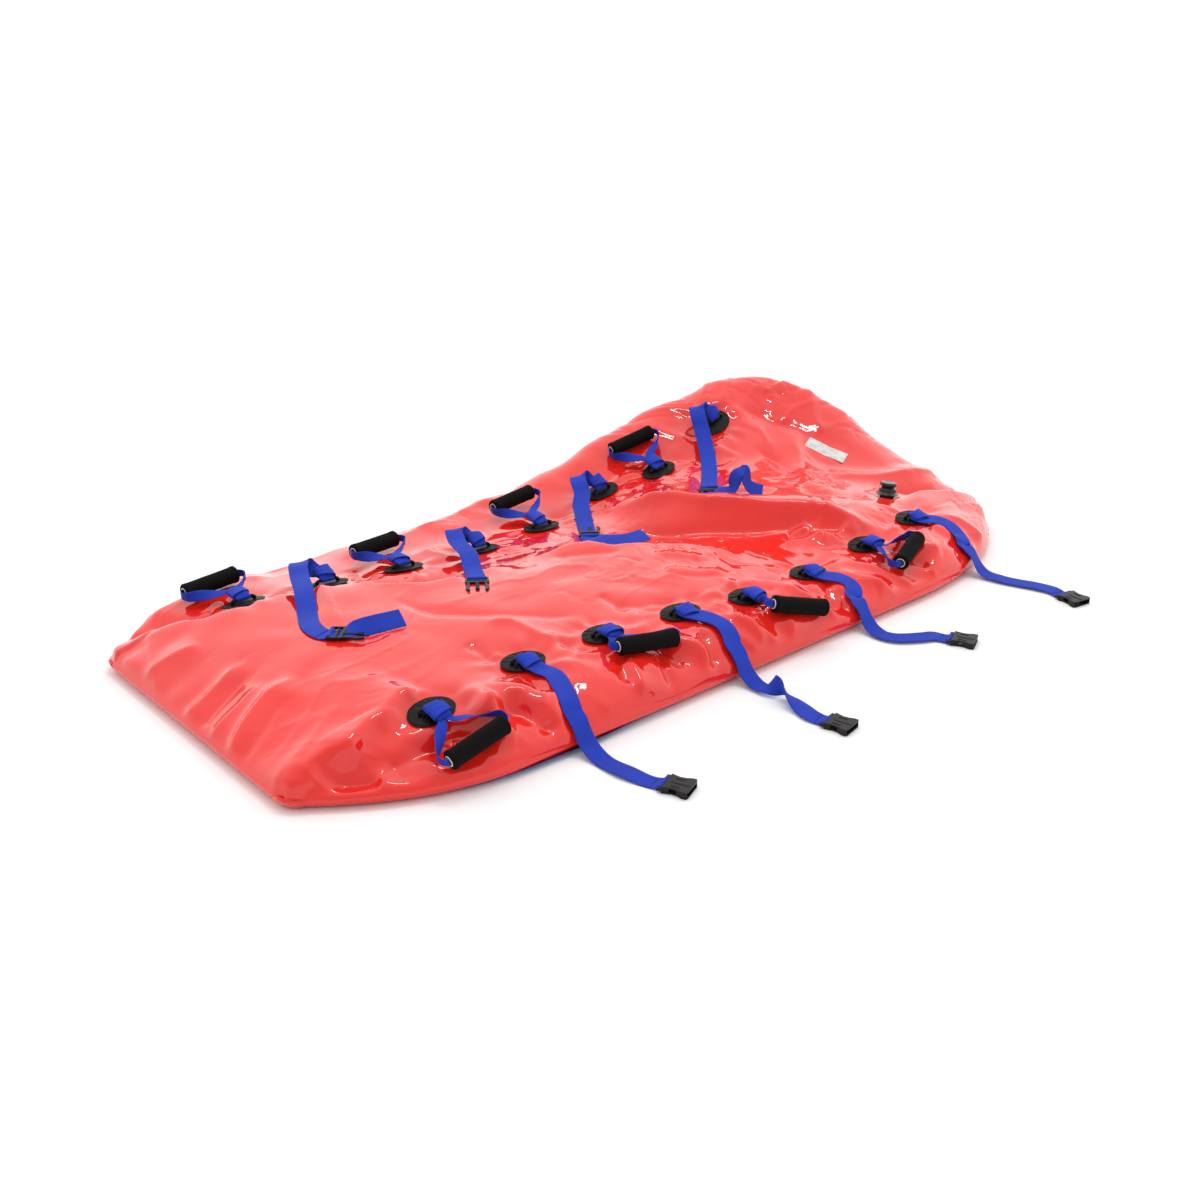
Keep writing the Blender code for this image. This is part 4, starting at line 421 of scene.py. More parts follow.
# Straps: where the doubled start ends, the seam near the buckle, and the lap of the second far one
DOUBLED_RANGE = (0.030, 0.046)
SEAM_FROM_END = 0.014
SEAM_STEP = 0.002
SEAM_ROWS = (0.0, -0.0016)
LAPPED_STRAP = 2
LAP = 0.078
# Sewn thread: radius, how deep it dips and how far apart its dips are
THREAD_RADIUS = 0.00038
THREAD_DIP = 0.00030
STITCH = 0.0032

# Ribs of a female buckle: place sideways, half width, start and end from the webbing's bar
RIBS = ((0.0, 0.0034, 0.014, 0.047), (0.0125, 0.0014, 0.016, 0.034), (-0.0125, 0.0014, 0.016, 0.034))
RIB_HEIGHT = 0.0010
RIB_FACE = 0.00622
RIB_PLACES = 17

# Air valve: height of its seat over its lowest point, then the profiles as radius and height over
# the seat
VALVE_SEAT = 0.012
VALVE_BODY = (
    (0.0130, 0.0135), (0.0130, -0.0080), (0.0100, -0.0100), (0.0100, -0.0118), (0.0163, -0.0118),
    (0.0165, -0.0004), (0.0250, -0.0002), (0.0259, 0.0004), (0.0260, 0.0012), (0.0252, 0.0018),
    (0.0222, 0.0023), (0.0212, 0.0034), (0.0202, 0.0056), (0.0199, 0.0090), (0.0200, 0.0118),
    (0.0196, 0.0132), (0.0186, 0.0139), (0.0140, 0.0140),
)
VALVE_KNOB = (
    (0.0001, 0.0041), (0.0118, 0.0041), (0.0123, 0.0046), (0.0123, 0.0060), (0.0104, 0.0062),
    (0.0104, 0.0108), (0.0123, 0.0110), (0.0123, 0.0143), (0.0150, 0.0144), (0.0149, 0.0172),
    (0.0160, 0.0186), (0.0186, 0.0200), (0.0193, 0.0214), (0.0195, 0.0246), (0.0190, 0.0264),
    (0.0178, 0.0275), (0.0150, 0.0278), (0.0140, 0.0274), (0.0001, 0.0273),
)
# Ribs round the knob's rim: how many, how deep, and the radii between which they start
KNOB_RIBS = 18.0
KNOB_RIB_DEPTH = 0.028
KNOB_RIM = (0.0186, 0.0192)

# Label: its size, turn in degrees, points along and across, and where its border ends
LABEL_LENGTH = 0.100
LABEL_WIDTH = 0.042
LABEL_TURN = -68.0
LABEL_GRID = (61, 29)
LABEL_BORDER = (0.0030, 0.0045)

# Bead fill: how far below the top skin it lies, and the line that its edge is drawn in towards
BEADS_BELOW = 0.0075
BEADS_SPINE = (-0.80, 0.60)
BEADS_IN = 0.024
BEADS_FLOOR = 0.0018

# Camera: place, direction, focal length and picture width in pixels, sensor in millimetres
CAMERA_AT = (-1.8764, -2.0948, 1.2332)
CAMERA_AHEAD = (0.5988, 0.6869, -0.4118)
FOCAL_PIXELS = 1426.0
PICTURE_PIXELS = 1200.0
SENSOR = 36.0
# Studio: the bright side of the dome, where it starts and ends, its strengths, and the strip light
DOME_TOWARDS = (0.656, 0.755, 0.0)
DOME_RANGE = (-0.80, 0.20)
DOME_STRENGTHS = (0.70, 1.32)
STRIP_AT = (0.5, 0.2, 4.0)
STRIP_AIM = (0.1, -0.1, 0.1)
STRIP_SIZE = (1.6, 0.20)
STRIP_POWER = 26.0
FLOOR_HALF = 60.0

# Directions
ACROSS = np.array([0.0, 1.0, 0.0])
UPRIGHT = np.array([0.0, 0.0, 1.0])


# Small numbers work


def length_of(vectors):
    """Length of each row, kept as a column."""
    return np.maximum(np.linalg.norm(vectors, axis=-1, keepdims=True), 1e-12)


def unit(vectors):
    """Each row at length one."""
    return vectors / length_of(vectors)


def square_to(vector, way):
    """The part of a vector that is square to a way, at length one."""
    return unit(vector - way * np.dot(vector, way))


def pointing_up(vector):
    """The vector or its opposite, whichever points up."""
    return vector if vector[2] > 0.0 else -vector


def turns_of(count):
    """Angles once round, evenly spaced."""
    return 2.0 * math.pi * np.arange(count) / count


def boxed(values, power):
    """Each value v as |v| to a power, its sign kept."""
    return np.sign(values) * np.abs(values) ** power


def run_along(points):
    """Distance of each point of a chain from its first."""
    return np.concatenate([[0.0], np.cumsum(np.linalg.norm(np.diff(points, axis=0), axis=1))])


def smooth_step(values, low, high):
    """Zero below low, one above high, 3t^2 - 2t^3 between."""
    t = np.clip((values - low) / (high - low), 0.0, 1.0)
    return t * t * (3.0 - 2.0 * t)


def spline_weights(t):
    """Catmull-Rom weights of four neighbours at share t of the middle span."""
    return (
        0.5 * (-t + 2.0 * t ** 2 - t ** 3), 0.5 * (2.0 - 5.0 * t ** 2 + 3.0 * t ** 3),
        0.5 * (t + 4.0 * t ** 2 - 3.0 * t ** 3), 0.5 * (-t ** 2 + t ** 3),
    )


def span_of(knots, values):
    """For each value, the span of the knots that holds it and the share of the way along."""
    knots = np.array(knots)
    values = np.clip(values, knots[0], knots[-1])
    index = np.clip(np.searchsorted(knots, values, side="right") - 1, 0, len(knots) - 2)
    return index, (values - knots[index]) / (knots[index + 1] - knots[index])


def path_through(rows, step):
    """Rows along a smooth curve through the given rows, about a step apart.

    A cubic in each span leaves every knot along the chord of its two neighbours, with the
    knots spaced by the distance between them."""
    rows = np.array(rows, float)
    knots = run_along(rows[:, :3])
    slopes = np.gradient(rows, knots, axis=0) if len(rows) > 2 else np.repeat(
        (rows[1:] - rows[:1]) / knots[1], 2, axis=0)
    count = max(int(round(knots[-1] / step)), 3)
    index, u = span_of(knots, np.linspace(0.0, knots[-1], count + 1))
    u = u[:, None]
    span = (knots[index + 1] - knots[index])[:, None]
    return (
        (2.0 * u ** 3 - 3.0 * u ** 2 + 1.0) * rows[index]
        + (u ** 3 - 2.0 * u ** 2 + u) * span * slopes[index]
        + (3.0 * u ** 2 - 2.0 * u ** 3) * rows[index + 1]
        + (u ** 3 - u ** 2) * span * slopes[index + 1]
    )


def value_noise(x, y, cell, seed):
    """Smooth noise from -1 to 1: random heights on a lattice, blended by 3t^2 - 2t^3."""
    draw = np.random.default_rng(seed)
    table = draw.uniform(-1.0, 1.0, (256, 256))
    gx, gy = x / cell + 100.0, y / cell + 100.0
    ix, iy = np.floor(gx).astype(int), np.floor(gy).astype(int)
    fx, fy = gx - ix, gy - iy
    fx, fy = fx * fx * (3.0 - 2.0 * fx), fy * fy * (3.0 - 2.0 * fy)
    ix, iy = ix % 255, iy % 255
    low = table[ix, iy] * (1.0 - fx) + table[ix + 1, iy] * fx
    high = table[ix, iy + 1] * (1.0 - fx) + table[ix + 1, iy + 1] * fx
    return low * (1.0 - fy) + high * fy


# Meshes


def add_mesh(name, points, quads, material, uv=None, sharp=None):
    """An object at the origin from arrays of points and faces, smooth shaded."""
    mesh = bpy.data.meshes.new(name)
    mesh.from_pydata(np.asarray(points, float).reshape(-1, 3).tolist(), [], [list(q) for q in quads])
    mesh.validate()
    mesh.update()
    mesh.shade_smooth()
    if sharp is not None:
        mesh.set_sharp_from_angle(angle=math.radians(sharp))
    if uv is not None:
        layer = mesh.uv_layers.new(name="cloth")
        corner = np.zeros(len(mesh.loops), np.int32)
        mesh.loops.foreach_get("vertex_index", corner)
        layer.data.foreach_set("uv", np.asarray(uv, np.float32)[corner].ravel())
    made = bpy.data.objects.new(name, mesh)
    bpy.context.scene.collection.objects.link(made)
    mesh.materials.append(material)
    return made


def grid_quads(rows, columns, wrap_rows=False, wrap_columns=False, start=0):
    """Faces of a grid of points laid row after row, joined round where it wraps."""
    i = np.arange(rows if wrap_rows else rows - 1)
    j = np.arange(columns if wrap_columns else columns - 1)
    i, j = (a.ravel() for a in np.meshgrid(i, j, indexing="ij"))
    i2, j2 = (i + 1) % rows, (j + 1) % columns
    return start + np.stack([i * columns + j, i2 * columns + j, i2 * columns + j2, i * columns + j2], 1)


def points_of(thing):
    """The points of an object's mesh as an array."""
    values = np.zeros(len(thing.data.vertices) * 3)
    thing.data.vertices.foreach_get("co", values)
    return values.reshape(-1, 3)


def dropped_on(points, targets, upward=False):
    """Where a straight line down (or up) from each point first meets the targets.

    Returns the heights met and which points met nothing."""
    coords, faces, start = [], [], 0
    for target in targets:
        own = points_of(target)
        target.data.calc_loop_triangles()
        corner = np.zeros(len(target.data.loop_triangles) * 3, np.int32)
        target.data.loop_triangles.foreach_get("vertices", corner)
        coords.append(own)
        faces.append(corner.reshape(-1, 3) + start)
        start += len(own)
    below = bpy.data.meshes.new("target")
    below.from_pydata(np.vstack(coords).tolist(), [], np.vstack(faces).tolist())
    target = bpy.data.objects.new("target", below)
    cast = bpy.data.meshes.new("cast")
    flat = points.reshape(-1, 3)
    cast.from_pydata(flat.tolist(), [], [])
    caster = bpy.data.objects.new("cast", cast)
    for item in (target, caster):
        bpy.context.scene.collection.objects.link(item)
    wrap = caster.modifiers.new("wrap", "SHRINKWRAP")
    wrap.wrap_method = "PROJECT"
    wrap.target = target
    wrap.use_project_z = True
    wrap.use_negative_direction = not upward
    wrap.use_positive_direction = upward
    graph = bpy.context.evaluated_depsgraph_get()
    result = caster.evaluated_get(graph).to_mesh()
    heights = np.zeros(len(flat) * 3)
    result.vertices.foreach_get("co", heights)
    heights = heights.reshape(-1, 3)[:, 2]
    for item in (caster, target):
        bpy.data.objects.remove(item, do_unlink=True)
    missed = np.abs(heights - flat[:, 2]) < 1e-7
    return heights.reshape(points.shape[:-1]), missed.reshape(points.shape[:-1])


def swept(centres, sides, ups, profile, closed=False):
    """Points and faces of a profile carried along a path, capped at both ends unless it closes.

    At each place the point is centre + side times the profile's first value + up times its
    second. The profile is a closed loop, one array for the whole path or one for each place."""
    profile = np.asarray(profile, float)
    if profile.ndim == 2:
        profile = np.broadcast_to(profile, (len(centres),) + profile.shape)
    points = (
        centres[:, None, :] + sides[:, None, :] * profile[:, :, :1] + ups[:, None, :] * profile[:, :, 1:2]
    )
    rows, columns = points.shape[:2]
    quads = [tuple(q) for q in grid_quads(rows, columns, wrap_rows=closed, wrap_columns=True)]
    if not closed:
        quads.append(tuple(range(columns)))
        quads.append(tuple(range((rows - 1) * columns, rows * columns))[::-1])
    return points.reshape(-1, 3), quads


def frames_along(centres, sides):
    """At each place of a path, its side and up directions square to the way it runs."""
    ways = unit(np.gradient(centres, axis=0))
    sides = unit(sides - ways * (sides * ways).sum(1, keepdims=True))
    return sides, unit(np.cross(sides, ways))


def band_profile(half_width, thickness, columns=12):
    """Closed cross-section of a webbing band: flat faces, rounded selvedges."""
    across = np.cos(np.linspace(0.0, math.pi, columns))
    edge = np.sqrt(np.clip(1.0 - np.abs(across) ** 14, 0.0, 1.0))
    top = np.column_stack([across * half_width, 0.5 * thickness * edge])
    low = np.column_stack([across[::-1] * half_width, -0.5 * thickness * edge])
    return np.vstack([top[:-1], low[:-1]])


def band(rows, half_widths, thickness, step=0.004):
    """A webbing band along a route of centre and side rows, its UV in metres."""
    fine = path_through(np.column_stack([np.asarray(rows, float), half_widths, thickness]), step)
    centres, sides = fine[:, :3], fine[:, 3:6]
    sides, ups = frames_along(centres, sides)
    profile = np.stack([band_profile(w, t) for w, t in fine[:, 6:8]])
    points, quads = swept(centres, sides, ups, profile)
    run = np.repeat(run_along(centres)[:, None], profile.shape[1], 1)
    return points, quads, np.stack([run, profile[:, :, 0]], 2).reshape(-1, 2)


def hoop(centre, axis, radius, half_width, thickness, toward):
    """A webbing band once round a bar, at radius (toward cos a + across sin a) from its centre."""
    toward = square_to(toward, axis)
    across = np.cross(axis, toward)
    angles = np.linspace(0.0, 2.0 * math.pi, 33)[:-1, None]
    rim = toward * np.cos(angles) + across * np.sin(angles)
    centres = centre + rim * radius
    profile = band_profile(half_width, thickness)
    sides = np.repeat(axis[None, :], len(centres), 0)
    points, quads = swept(centres, sides, rim, profile, closed=True)
    along = np.repeat(angles * radius, len(profile), 1)
    uv = np.stack([along, np.broadcast_to(profile[:, 0], along.shape)], 2).reshape(-1, 2)
    return points, quads, uv


def together(parts):
    """Several lots of points, faces and, where they have any, UVs made one."""
    points, quads, uvs, start = [], [], [], 0
    for part, faces, *uv in parts:
        points.append(part)
        quads.extend(tuple(int(k) + start for k in face) for face in faces)
        uvs.append(uv[0] if uv else np.zeros((len(part), 2)))
        start += len(part)
    return np.vstack(points), quads, np.vstack(uvs)


def outward(thing, facing=0.0):
    """Turn the faces of a closed mesh so that they all point out.

    An open sheet's faces point up on the whole where facing is 1, and down where it is -1."""
    work = bmesh.new()
    work.from_mesh(thing.data)
    bmesh.ops.recalc_face_normals(work, faces=work.faces)
    if facing and facing * sum(f.normal.z * f.calc_area() for f in work.faces) < 0.0:
        bmesh.ops.reverse_faces(work, faces=work.faces)
    work.to_mesh(thing.data)
    work.free()
    return thing


def walled(thing, thickness):
    """Give an open sheet a wall on the inner side of its faces."""
    wall = thing.modifiers.new("wall", "SOLIDIFY")
    wall.thickness = thickness
    wall.offset = -1.0
    return thing


def rim_loop(rows, columns):
    """Indexes of a grid's border, once round."""
    index = np.arange(rows * columns).reshape(rows, columns)
    return np.concatenate([index[:, 0], index[-1, 1:], index[-2::-1, -1], index[0, -2:0:-1]])


def slab(top, low):
    """Points and faces of a slab between two grids of points, closed round its border."""
    rows, columns = top.shape[:2]
    count = rows * columns
    quads = list(grid_quads(rows, columns))
    quads += [tuple(q[::-1]) for q in grid_quads(rows, columns, start=count)]
    loop = rim_loop(rows, columns)
    quads += [(a, b, b + count, a + count) for a, b in zip(loop, np.roll(loop, -1))]
    return np.vstack([top.reshape(-1, 3), low.reshape(-1, 3)]), quads


def revolved(profile, steps, place, axis, radial=None):
    """A closed profile of radius and distance along the axis, turned about it.

    Where radial is given, it says for each point and angle what the radius is multiplied by."""
    profile = np.asarray(profile, float)
    helper = UPRIGHT if abs(axis[2]) < 0.9 else np.array([1.0, 0.0, 0.0])
    first = unit(np.cross(helper, axis))
    second = np.cross(axis, first)
    angles = turns_of(steps)
    scale = np.ones((len(profile), steps)) if radial is None else radial(profile, angles)
    around = first * np.cos(angles)[:, None] + second * np.sin(angles)[:, None]
    points = (
        place + axis * profile[:, None, 1:2] + around[None] * (profile[:, None, :1] * scale[..., None])
    )
    quads = [tuple(q) for q in grid_quads(len(profile), steps, wrap_rows=True, wrap_columns=True)]
    return points.reshape(-1, 3), quads


# The bag's own shape


def half_width_at(x, side):
    """Half width of the bag at a place along it: foot corner, taper, then straight sides."""
    sweep = math.radians(FOOT_CORNER_SWEEP)
    start = -HALF_LENGTH + FOOT_CORNER_RADIUS * (1.0 - math.cos(sweep))
    width = FOOT_CORNER_AT + FOOT_CORNER_RADIUS * math.sin(sweep)
    cosine = np.clip(1.0 - (x + HALF_LENGTH) / FOOT_CORNER_RADIUS, -1.0, 1.0)
    corner = FOOT_CORNER_AT + FOOT_CORNER_RADIUS * np.sqrt(1.0 - cosine ** 2)
    full = HALF_WIDTHS[side]
    taper = np.clip((FOOT_TAPER_END - x) / (FOOT_TAPER_END - start), 0.0, 1.0)
    return np.where(x < start, corner, full - (full - width) * taper ** 2)


def head_scale(angle, side):
    """Reach of the head's curve in a direction, |cos|^n + |sin|^n to the power -1/n."""
    n = HEAD_ROUNDNESS[side]
    return (np.abs(np.cos(angle)) ** n + np.abs(np.sin(angle)) ** n) ** (-1.0 / n)


def plan_of(along, across):
    """Plan of the bag at shares across it: straight rows, then a square eased into the head."""
    q = np.clip((along - HEAD_ARC_START) / (HALF_LENGTH - HEAD_ARC_START), 0.0, 1.0)
    disc_x = q * np.sqrt(1.0 - 0.5 * across ** 2)
    disc_y = across * np.sqrt(1.0 - 0.5 * q ** 2)
    angle = np.arctan2(disc_y, np.maximum(disc_x, 1e-9))
    x = np.zeros(np.broadcast(along, across).shape)
    y = np.zeros_like(x)
    for side, sign in (("near", -1.0), ("far", 1.0)):
        reach = head_scale(angle, side)
        head_x = HEAD_ARC_START + (HALF_LENGTH - HEAD_ARC_START) * disc_x * reach
        head_y = HALF_WIDTHS[side] * disc_y * reach
        body_y = half_width_at(along, side) * across
        own = across * sign >= 0.0
        in_head = along > HEAD_ARC_START
        x = np.where(own, np.where(in_head, head_x, along), x)
        y = np.where(own, np.where(in_head, head_y, body_y), y)
    return x, y


def bag_outline(count):
    """Points round the bag's edge, evenly spaced, from the middle of the foot by the far side."""
    body = np.linspace(-HALF_LENGTH, HEAD_ARC_START, 900)
    lines = []
    for side, sign in (("far", 1.0), ("near", -1.0)):
        angle = np.linspace(0.5 * math.pi, 0.0, 300)
        reach = head_scale(angle, side)
        head = np.column_stack([
            HEAD_ARC_START + (HALF_LENGTH - HEAD_ARC_START) * np.cos(angle) * reach,
            HALF_WIDTHS[side] * np.sin(angle) * reach,
        ])
        foot = np.column_stack([np.full(40, -HALF_LENGTH), np.linspace(0.0, FOOT_CORNER_AT, 40)])
        flank = np.column_stack([body, half_width_at(body, side)])
        lines.append(np.vstack([foot, flank[1:], head[1:]]) * (1.0, sign))
    loop = np.vstack([lines[0], lines[1][-2::-1]])
    run = run_along(loop)
    at = np.linspace(0.0, run[-1], count + 1)[:-1]
    return np.column_stack([np.interp(at, run, loop[:, k]) for k in (0, 1)])


def distance_to_lines(x, y, line, closed=False):
    """Least distance to a chain of segments, its sign, and the share along it.

    Each segment's nearest point comes from the clamped projection; the left side is positive."""
    line = np.asarray(line, float)
    start = line if closed else line[:-1]
    step = (np.roll(line, -1, 0) if closed else line[1:]) - start
    best = np.full(x.shape, 1e9)
    sign = np.ones(x.shape)
    share = np.zeros(x.shape)
    for k, ((x0, y0), (dx, dy)) in enumerate(zip(start, step)):
        t = np.clip(((x - x0) * dx + (y - y0) * dy) / (dx * dx + dy * dy), 0.0, 1.0)
        far = np.hypot(x - x0 - t * dx, y - y0 - t * dy)
        turn = dx * (y - y0) - dy * (x - x0)
        closer = far < best
        best = np.where(closer, far, best)
        sign = np.where(closer, np.where(turn >= 0.0, 1.0, -1.0), sign)
        share = np.where(closer, (k + t) / len(start), share)
    return best, sign, share


def bead_height(x, y):
    """Height of the heaped beads: a Catmull-Rom sheet through the table of heights."""
    row, t = span_of(BEAD_STATIONS, x / HALF_LENGTH)
    column, u = span_of(BEAD_ACROSS, y / HALF_WIDTHS["far"])
    table = np.array(BEAD_HEIGHTS)
    height = np.zeros(x.shape)
    for i, a in enumerate(spline_weights(t)):
        for j, b in enumerate(spline_weights(u)):
            height += a * b * table[
                np.clip(row + i - 1, 0, len(BEAD_STATIONS) - 1),
                np.clip(column + j - 1, 0, len(BEAD_ACROSS) - 1),
            ]
    return height


def bag_height(x, y, inset):
    """Height of the top skin: the beads' height, rolled down to the seam by a quarter ellipse."""
    foot = 1.0 / (1.0 + np.exp((x / HALF_LENGTH - FOOT_ROLL_AT) / FOOT_ROLL_BLEND))
    share = np.clip(inset / (SIDE_ROLL + (FOOT_ROLL - SIDE_ROLL) * foot), 0.0, 1.0)
    return SEAM_HEIGHT + (bead_height(x, y) - SEAM_HEIGHT) * np.sqrt(1.0 - (1.0 - share) ** 2)


def rolled_steps(total, roll_start, roll_end, drop, cell):
    """Distances from one edge to the other, closer together where the skin rolls down."""
    share = np.linspace(0.0, 0.5 * math.pi, 60)
    first = np.column_stack([roll_start * (1.0 - np.cos(share)), drop * np.sin(share)])
    last = np.column_stack([total - roll_end * (1.0 - np.cos(share)), drop * np.sin(share)])[::-1]
    line = np.vstack([first, last])
    run = run_along(line)
    count = int(round(run[-1] / cell))
    return np.interp(np.linspace(0.0, run[-1], count + 1), run, line[:, 0])


def folds_of(x, y):
    """Sum of the folds: each a ridge or groove exp(-(sqrt(d^2 + r^2) - r) / 0.8 w), with its own
    reach w either side and a crest of radius r, fading towards both ends of its line."""
    total = np.zeros(x.shape)
    for height, left, right, line in FOLDS:
        far, sign, share = distance_to_lines(x, y, line)
        width = np.where(sign > 0.0, left, right)
        ends = smooth_step(share, 0.0, FOLD_FADE) * smooth_step(1.0 - share, 0.0, FOLD_FADE)
        crest = np.minimum(CREST_RADIUS, 0.5 * width)
        total += height * ends * np.exp(-(np.sqrt(far ** 2 + crest ** 2) - crest) / (FOLD_FALL * width))
    return total


def wrinkles_of(x, y, depth):
    """Soft dents and sharper creases from layers of noise bent by other noise.

    A crease lies where its noise n is near zero: height times smooth_step(1 - |n|). The creases
    are livelier towards the head."""
    bend_x, bend_y = (
        own + BEND * value_noise(x, y, BEND_CELL, seed) for own, seed in zip((x, y), BEND_SEEDS)
    )
    dents = sum(height * value_noise(bend_x, bend_y, cell, seed) for height, cell, seed in DENTS)
    creases = 0.0
    for height, cell, seed, (xx, xy, yx, yy), start, (mask_cell, mask_seed, low, high) in CREASES:
        noise = value_noise(bend_x * xx + bend_y * xy, bend_x * yx + bend_y * yy, cell, seed)
        shown = smooth_step(value_noise(x, y, mask_cell, mask_seed), low, high)
        creases = creases + height * (smooth_step(1.0 - np.abs(noise), start, 1.0) * shown)
    calm, more = LIVELY_SHARES
    return depth * (dents + (calm + more * smooth_step(x, *LIVELY_RANGE)) * creases)


def patch_rings(x, y, bar):
    """Distance from a patch's middle, one on its rim."""
    return np.hypot((x - bar[0]) / PATCH_HALF[0], (y - bar[1]) / PATCH_HALF[1])


def puckers_of(x, y):
    """Rays of small folds that run out from each patch, as the skin draws up to it."""
    total = np.zeros(x.shape)
    for k, (bar, _) in enumerate(PORTS.values()):
        dx, dy = x - bar[0], y - bar[1]
        far = patch_rings(x, y, bar)
        angle = np.arctan2(dy, dx)
        rays = sum(share * np.cos(count * angle + phase * k) for count, phase, share in PUCKER_RAYS)
        fade = smooth_step(far, *PUCKER_FROM) * np.exp(-((far - PUCKER_PEAK) / PUCKER_FADE) ** 2)
        total += PUCKER_HEIGHT * rays * fade
        total -= PUCKER_DIP * np.exp(-((far - 1.0) / PUCKER_DIP_FADE) ** 2)
    return total


def edge_folds_of(x, y, inset):
    """Pleats that run up the side walls from the seam, their spacing uneven, from three noises
    along the wall that hardly change up it."""
    wander = PLEAT_WANDER * value_noise(x, y, WANDER_CELL, WANDER_SEED)
    along = np.where(np.abs(y) > PLEAT_TURNS_AT, x, y) + wander

    def pleats(start, cell, seed, slant):
        return value_noise(start, slant * inset, cell, seed)

    fine = pleats(along, *PLEAT_FINE)
    wide = pleats(along, *PLEAT_WIDE)
    zone = smooth_step(inset, 0.0, PLEAT_STARTS) * (1.0 - smooth_step(inset, *PLEAT_ENDS))
    far_side = smooth_step(y, *FAR_SIDE_RANGE)
    near_side = smooth_step(-y, *NEAR_SIDE_RANGE)
    sharp = 1.0 - PLEAT_SHARPNESS * np.abs(pleats(along + PLEAT_SHARP_LEAN * inset, *PLEAT_SHARP))
    wide_height, fine_height, sharp_height = PLEAT_HEIGHTS
    return zone * (
        (wide_height + PLEAT_FAR_EXTRA * far_side) * wide + fine_height * fine
        + sharp_height * near_side * sharp
    )


# Sizes and colours that a user may change

METRES = {"subtype": "DISTANCE", "unit": "LENGTH"}
COLOUR = {"size": 3, "min": 0.0, "max": 1.0, "subtype": "COLOR"}


class MattressSizes(bpy.types.PropertyGroup):
    """Sizes of the bag, the webbing and the fittings."""

    cell: bpy.props.FloatProperty(
        name="Skin cell", description="Spacing of the points of the top skin",
        default=0.0052, min=0.003, **METRES)
    skin_wall: bpy.props.FloatProperty(
        name="Skin wall", description="Thickness of the coated skin",
        default=0.0012, min=0.0005, **METRES)
    fold_depth: bpy.props.FloatProperty(
        name="Fold depth", description="How deep the folds of the skin are", default=1.1, min=0.0)
    wrinkle_depth: bpy.props.FloatProperty(
        name="Wrinkle depth", description="How deep the small wrinkles are", default=1.15, min=0.0)
    webbing_width: bpy.props.FloatProperty(
        name="Webbing width", description="Width of a patient strap",
        default=0.038, min=0.01, **METRES)
    webbing_thickness: bpy.props.FloatProperty(
        name="Webbing thickness", description="Thickness of one layer of webbing",
        default=0.0016, min=0.0005, **METRES)
    loop_width: bpy.props.FloatProperty(
        name="Loop width", description="Width of the webbing where it passes round a patch bar",
        default=0.030, min=0.01, **METRES)
    grip_length: bpy.props.FloatProperty(
        name="Grip length", description="Length of a foam grip",
        default=0.120, min=0.05, **METRES)
    grip_radius: bpy.props.FloatProperty(
        name="Grip radius", description="Radius of the beaded end of a foam grip",
        default=0.0175, min=0.01, **METRES)
    tube_radius: bpy.props.FloatProperty(
        name="Tube radius", description="Outside radius of the tube inside a grip",
        default=0.0098, min=0.006, **METRES)
    patch_length: bpy.props.FloatProperty(
        name="Patch length", description="Length of an oval webbing patch",
        default=0.088, min=0.03, **METRES)
    patch_width: bpy.props.FloatProperty(
        name="Patch width", description="Width of an oval webbing patch",
        default=0.062, min=0.02, **METRES)
    patch_thickness: bpy.props.FloatProperty(
        name="Patch thickness", description="Thickness of a patch",
        default=0.0024, min=0.001, **METRES)
    bevel: bpy.props.FloatProperty(
        name="Buckle edge", description="Rounding of the moulded buckles' edges",
        default=0.0005, min=0.0001, **METRES)


class MattressColours(bpy.types.PropertyGroup):
    """Colours of the skins, the webbing and the fittings."""

    skin: bpy.props.FloatVectorProperty(
        name="Top skin", description="Red coated top skin",
        default=(0.810, 0.0185, 0.0110), **COLOUR)
    base: bpy.props.FloatVectorProperty(
        name="Bottom skin", description="Blue coated bottom skin",
        default=(0.010, 0.020, 0.200), **COLOUR)
    webbing: bpy.props.FloatVectorProperty(
        name="Webbing", description="Woven webbing",
        default=(0.0075, 0.040, 0.480), **COLOUR)
    foam: bpy.props.FloatVectorProperty(
        name="Foam", description="Foam of the grips",
        default=(0.0050, 0.0042, 0.0040), **COLOUR)
    tube: bpy.props.FloatVectorProperty(
        name="Tube", description="Tube inside the grips",
        default=(0.74, 0.66, 0.50), **COLOUR)
    rubber: bpy.props.FloatVectorProperty(
        name="Patch", description="Rubber of the patches",
        default=(0.0050, 0.0042, 0.0040), **COLOUR)
    nylon: bpy.props.FloatVectorProperty(
        name="Buckles", description="Moulded nylon of the buckles",
        default=(0.0080, 0.0060, 0.0056), **COLOUR)
    valve: bpy.props.FloatVectorProperty(
        name="Valve", description="Moulded plastic of the valve",
        default=(0.010, 0.0098, 0.0102), **COLOUR)
    label: bpy.props.FloatVectorProperty(
        name="Label", description="Bare label",
        default=(0.600, 0.585, 0.560), **COLOUR)
    floor: bpy.props.FloatVectorProperty(
        name="Floor", description="Pale studio floor",
        default=(0.93, 0.93, 0.93), **COLOUR)


# Finishes


def new_finish(name):
    """A new material, its tree, its shader and a socket that gives places in metres."""
    made = bpy.data.materials.new(name)
    made.use_nodes = True
    tree = made.node_tree
    place = tree.nodes.new("ShaderNodeTexCoord").outputs["Object"]
    return made, tree, tree.nodes["Principled BSDF"], place


def put(shader, **values):
    """Set some of a shader's sockets by name."""
    for name, value in values.items():
        shader.inputs[name.replace("_", " ")].default_value = value


def add_node(tree, kind, **values):
    """A node with some of its settings given by name, and its sockets by name after in_."""
    made = tree.nodes.new(kind)
    for name, value in values.items():
        if name.startswith("in_"):
            put(made, **{name[3:]: value})
        else:
            setattr(made, name, value)
    return made


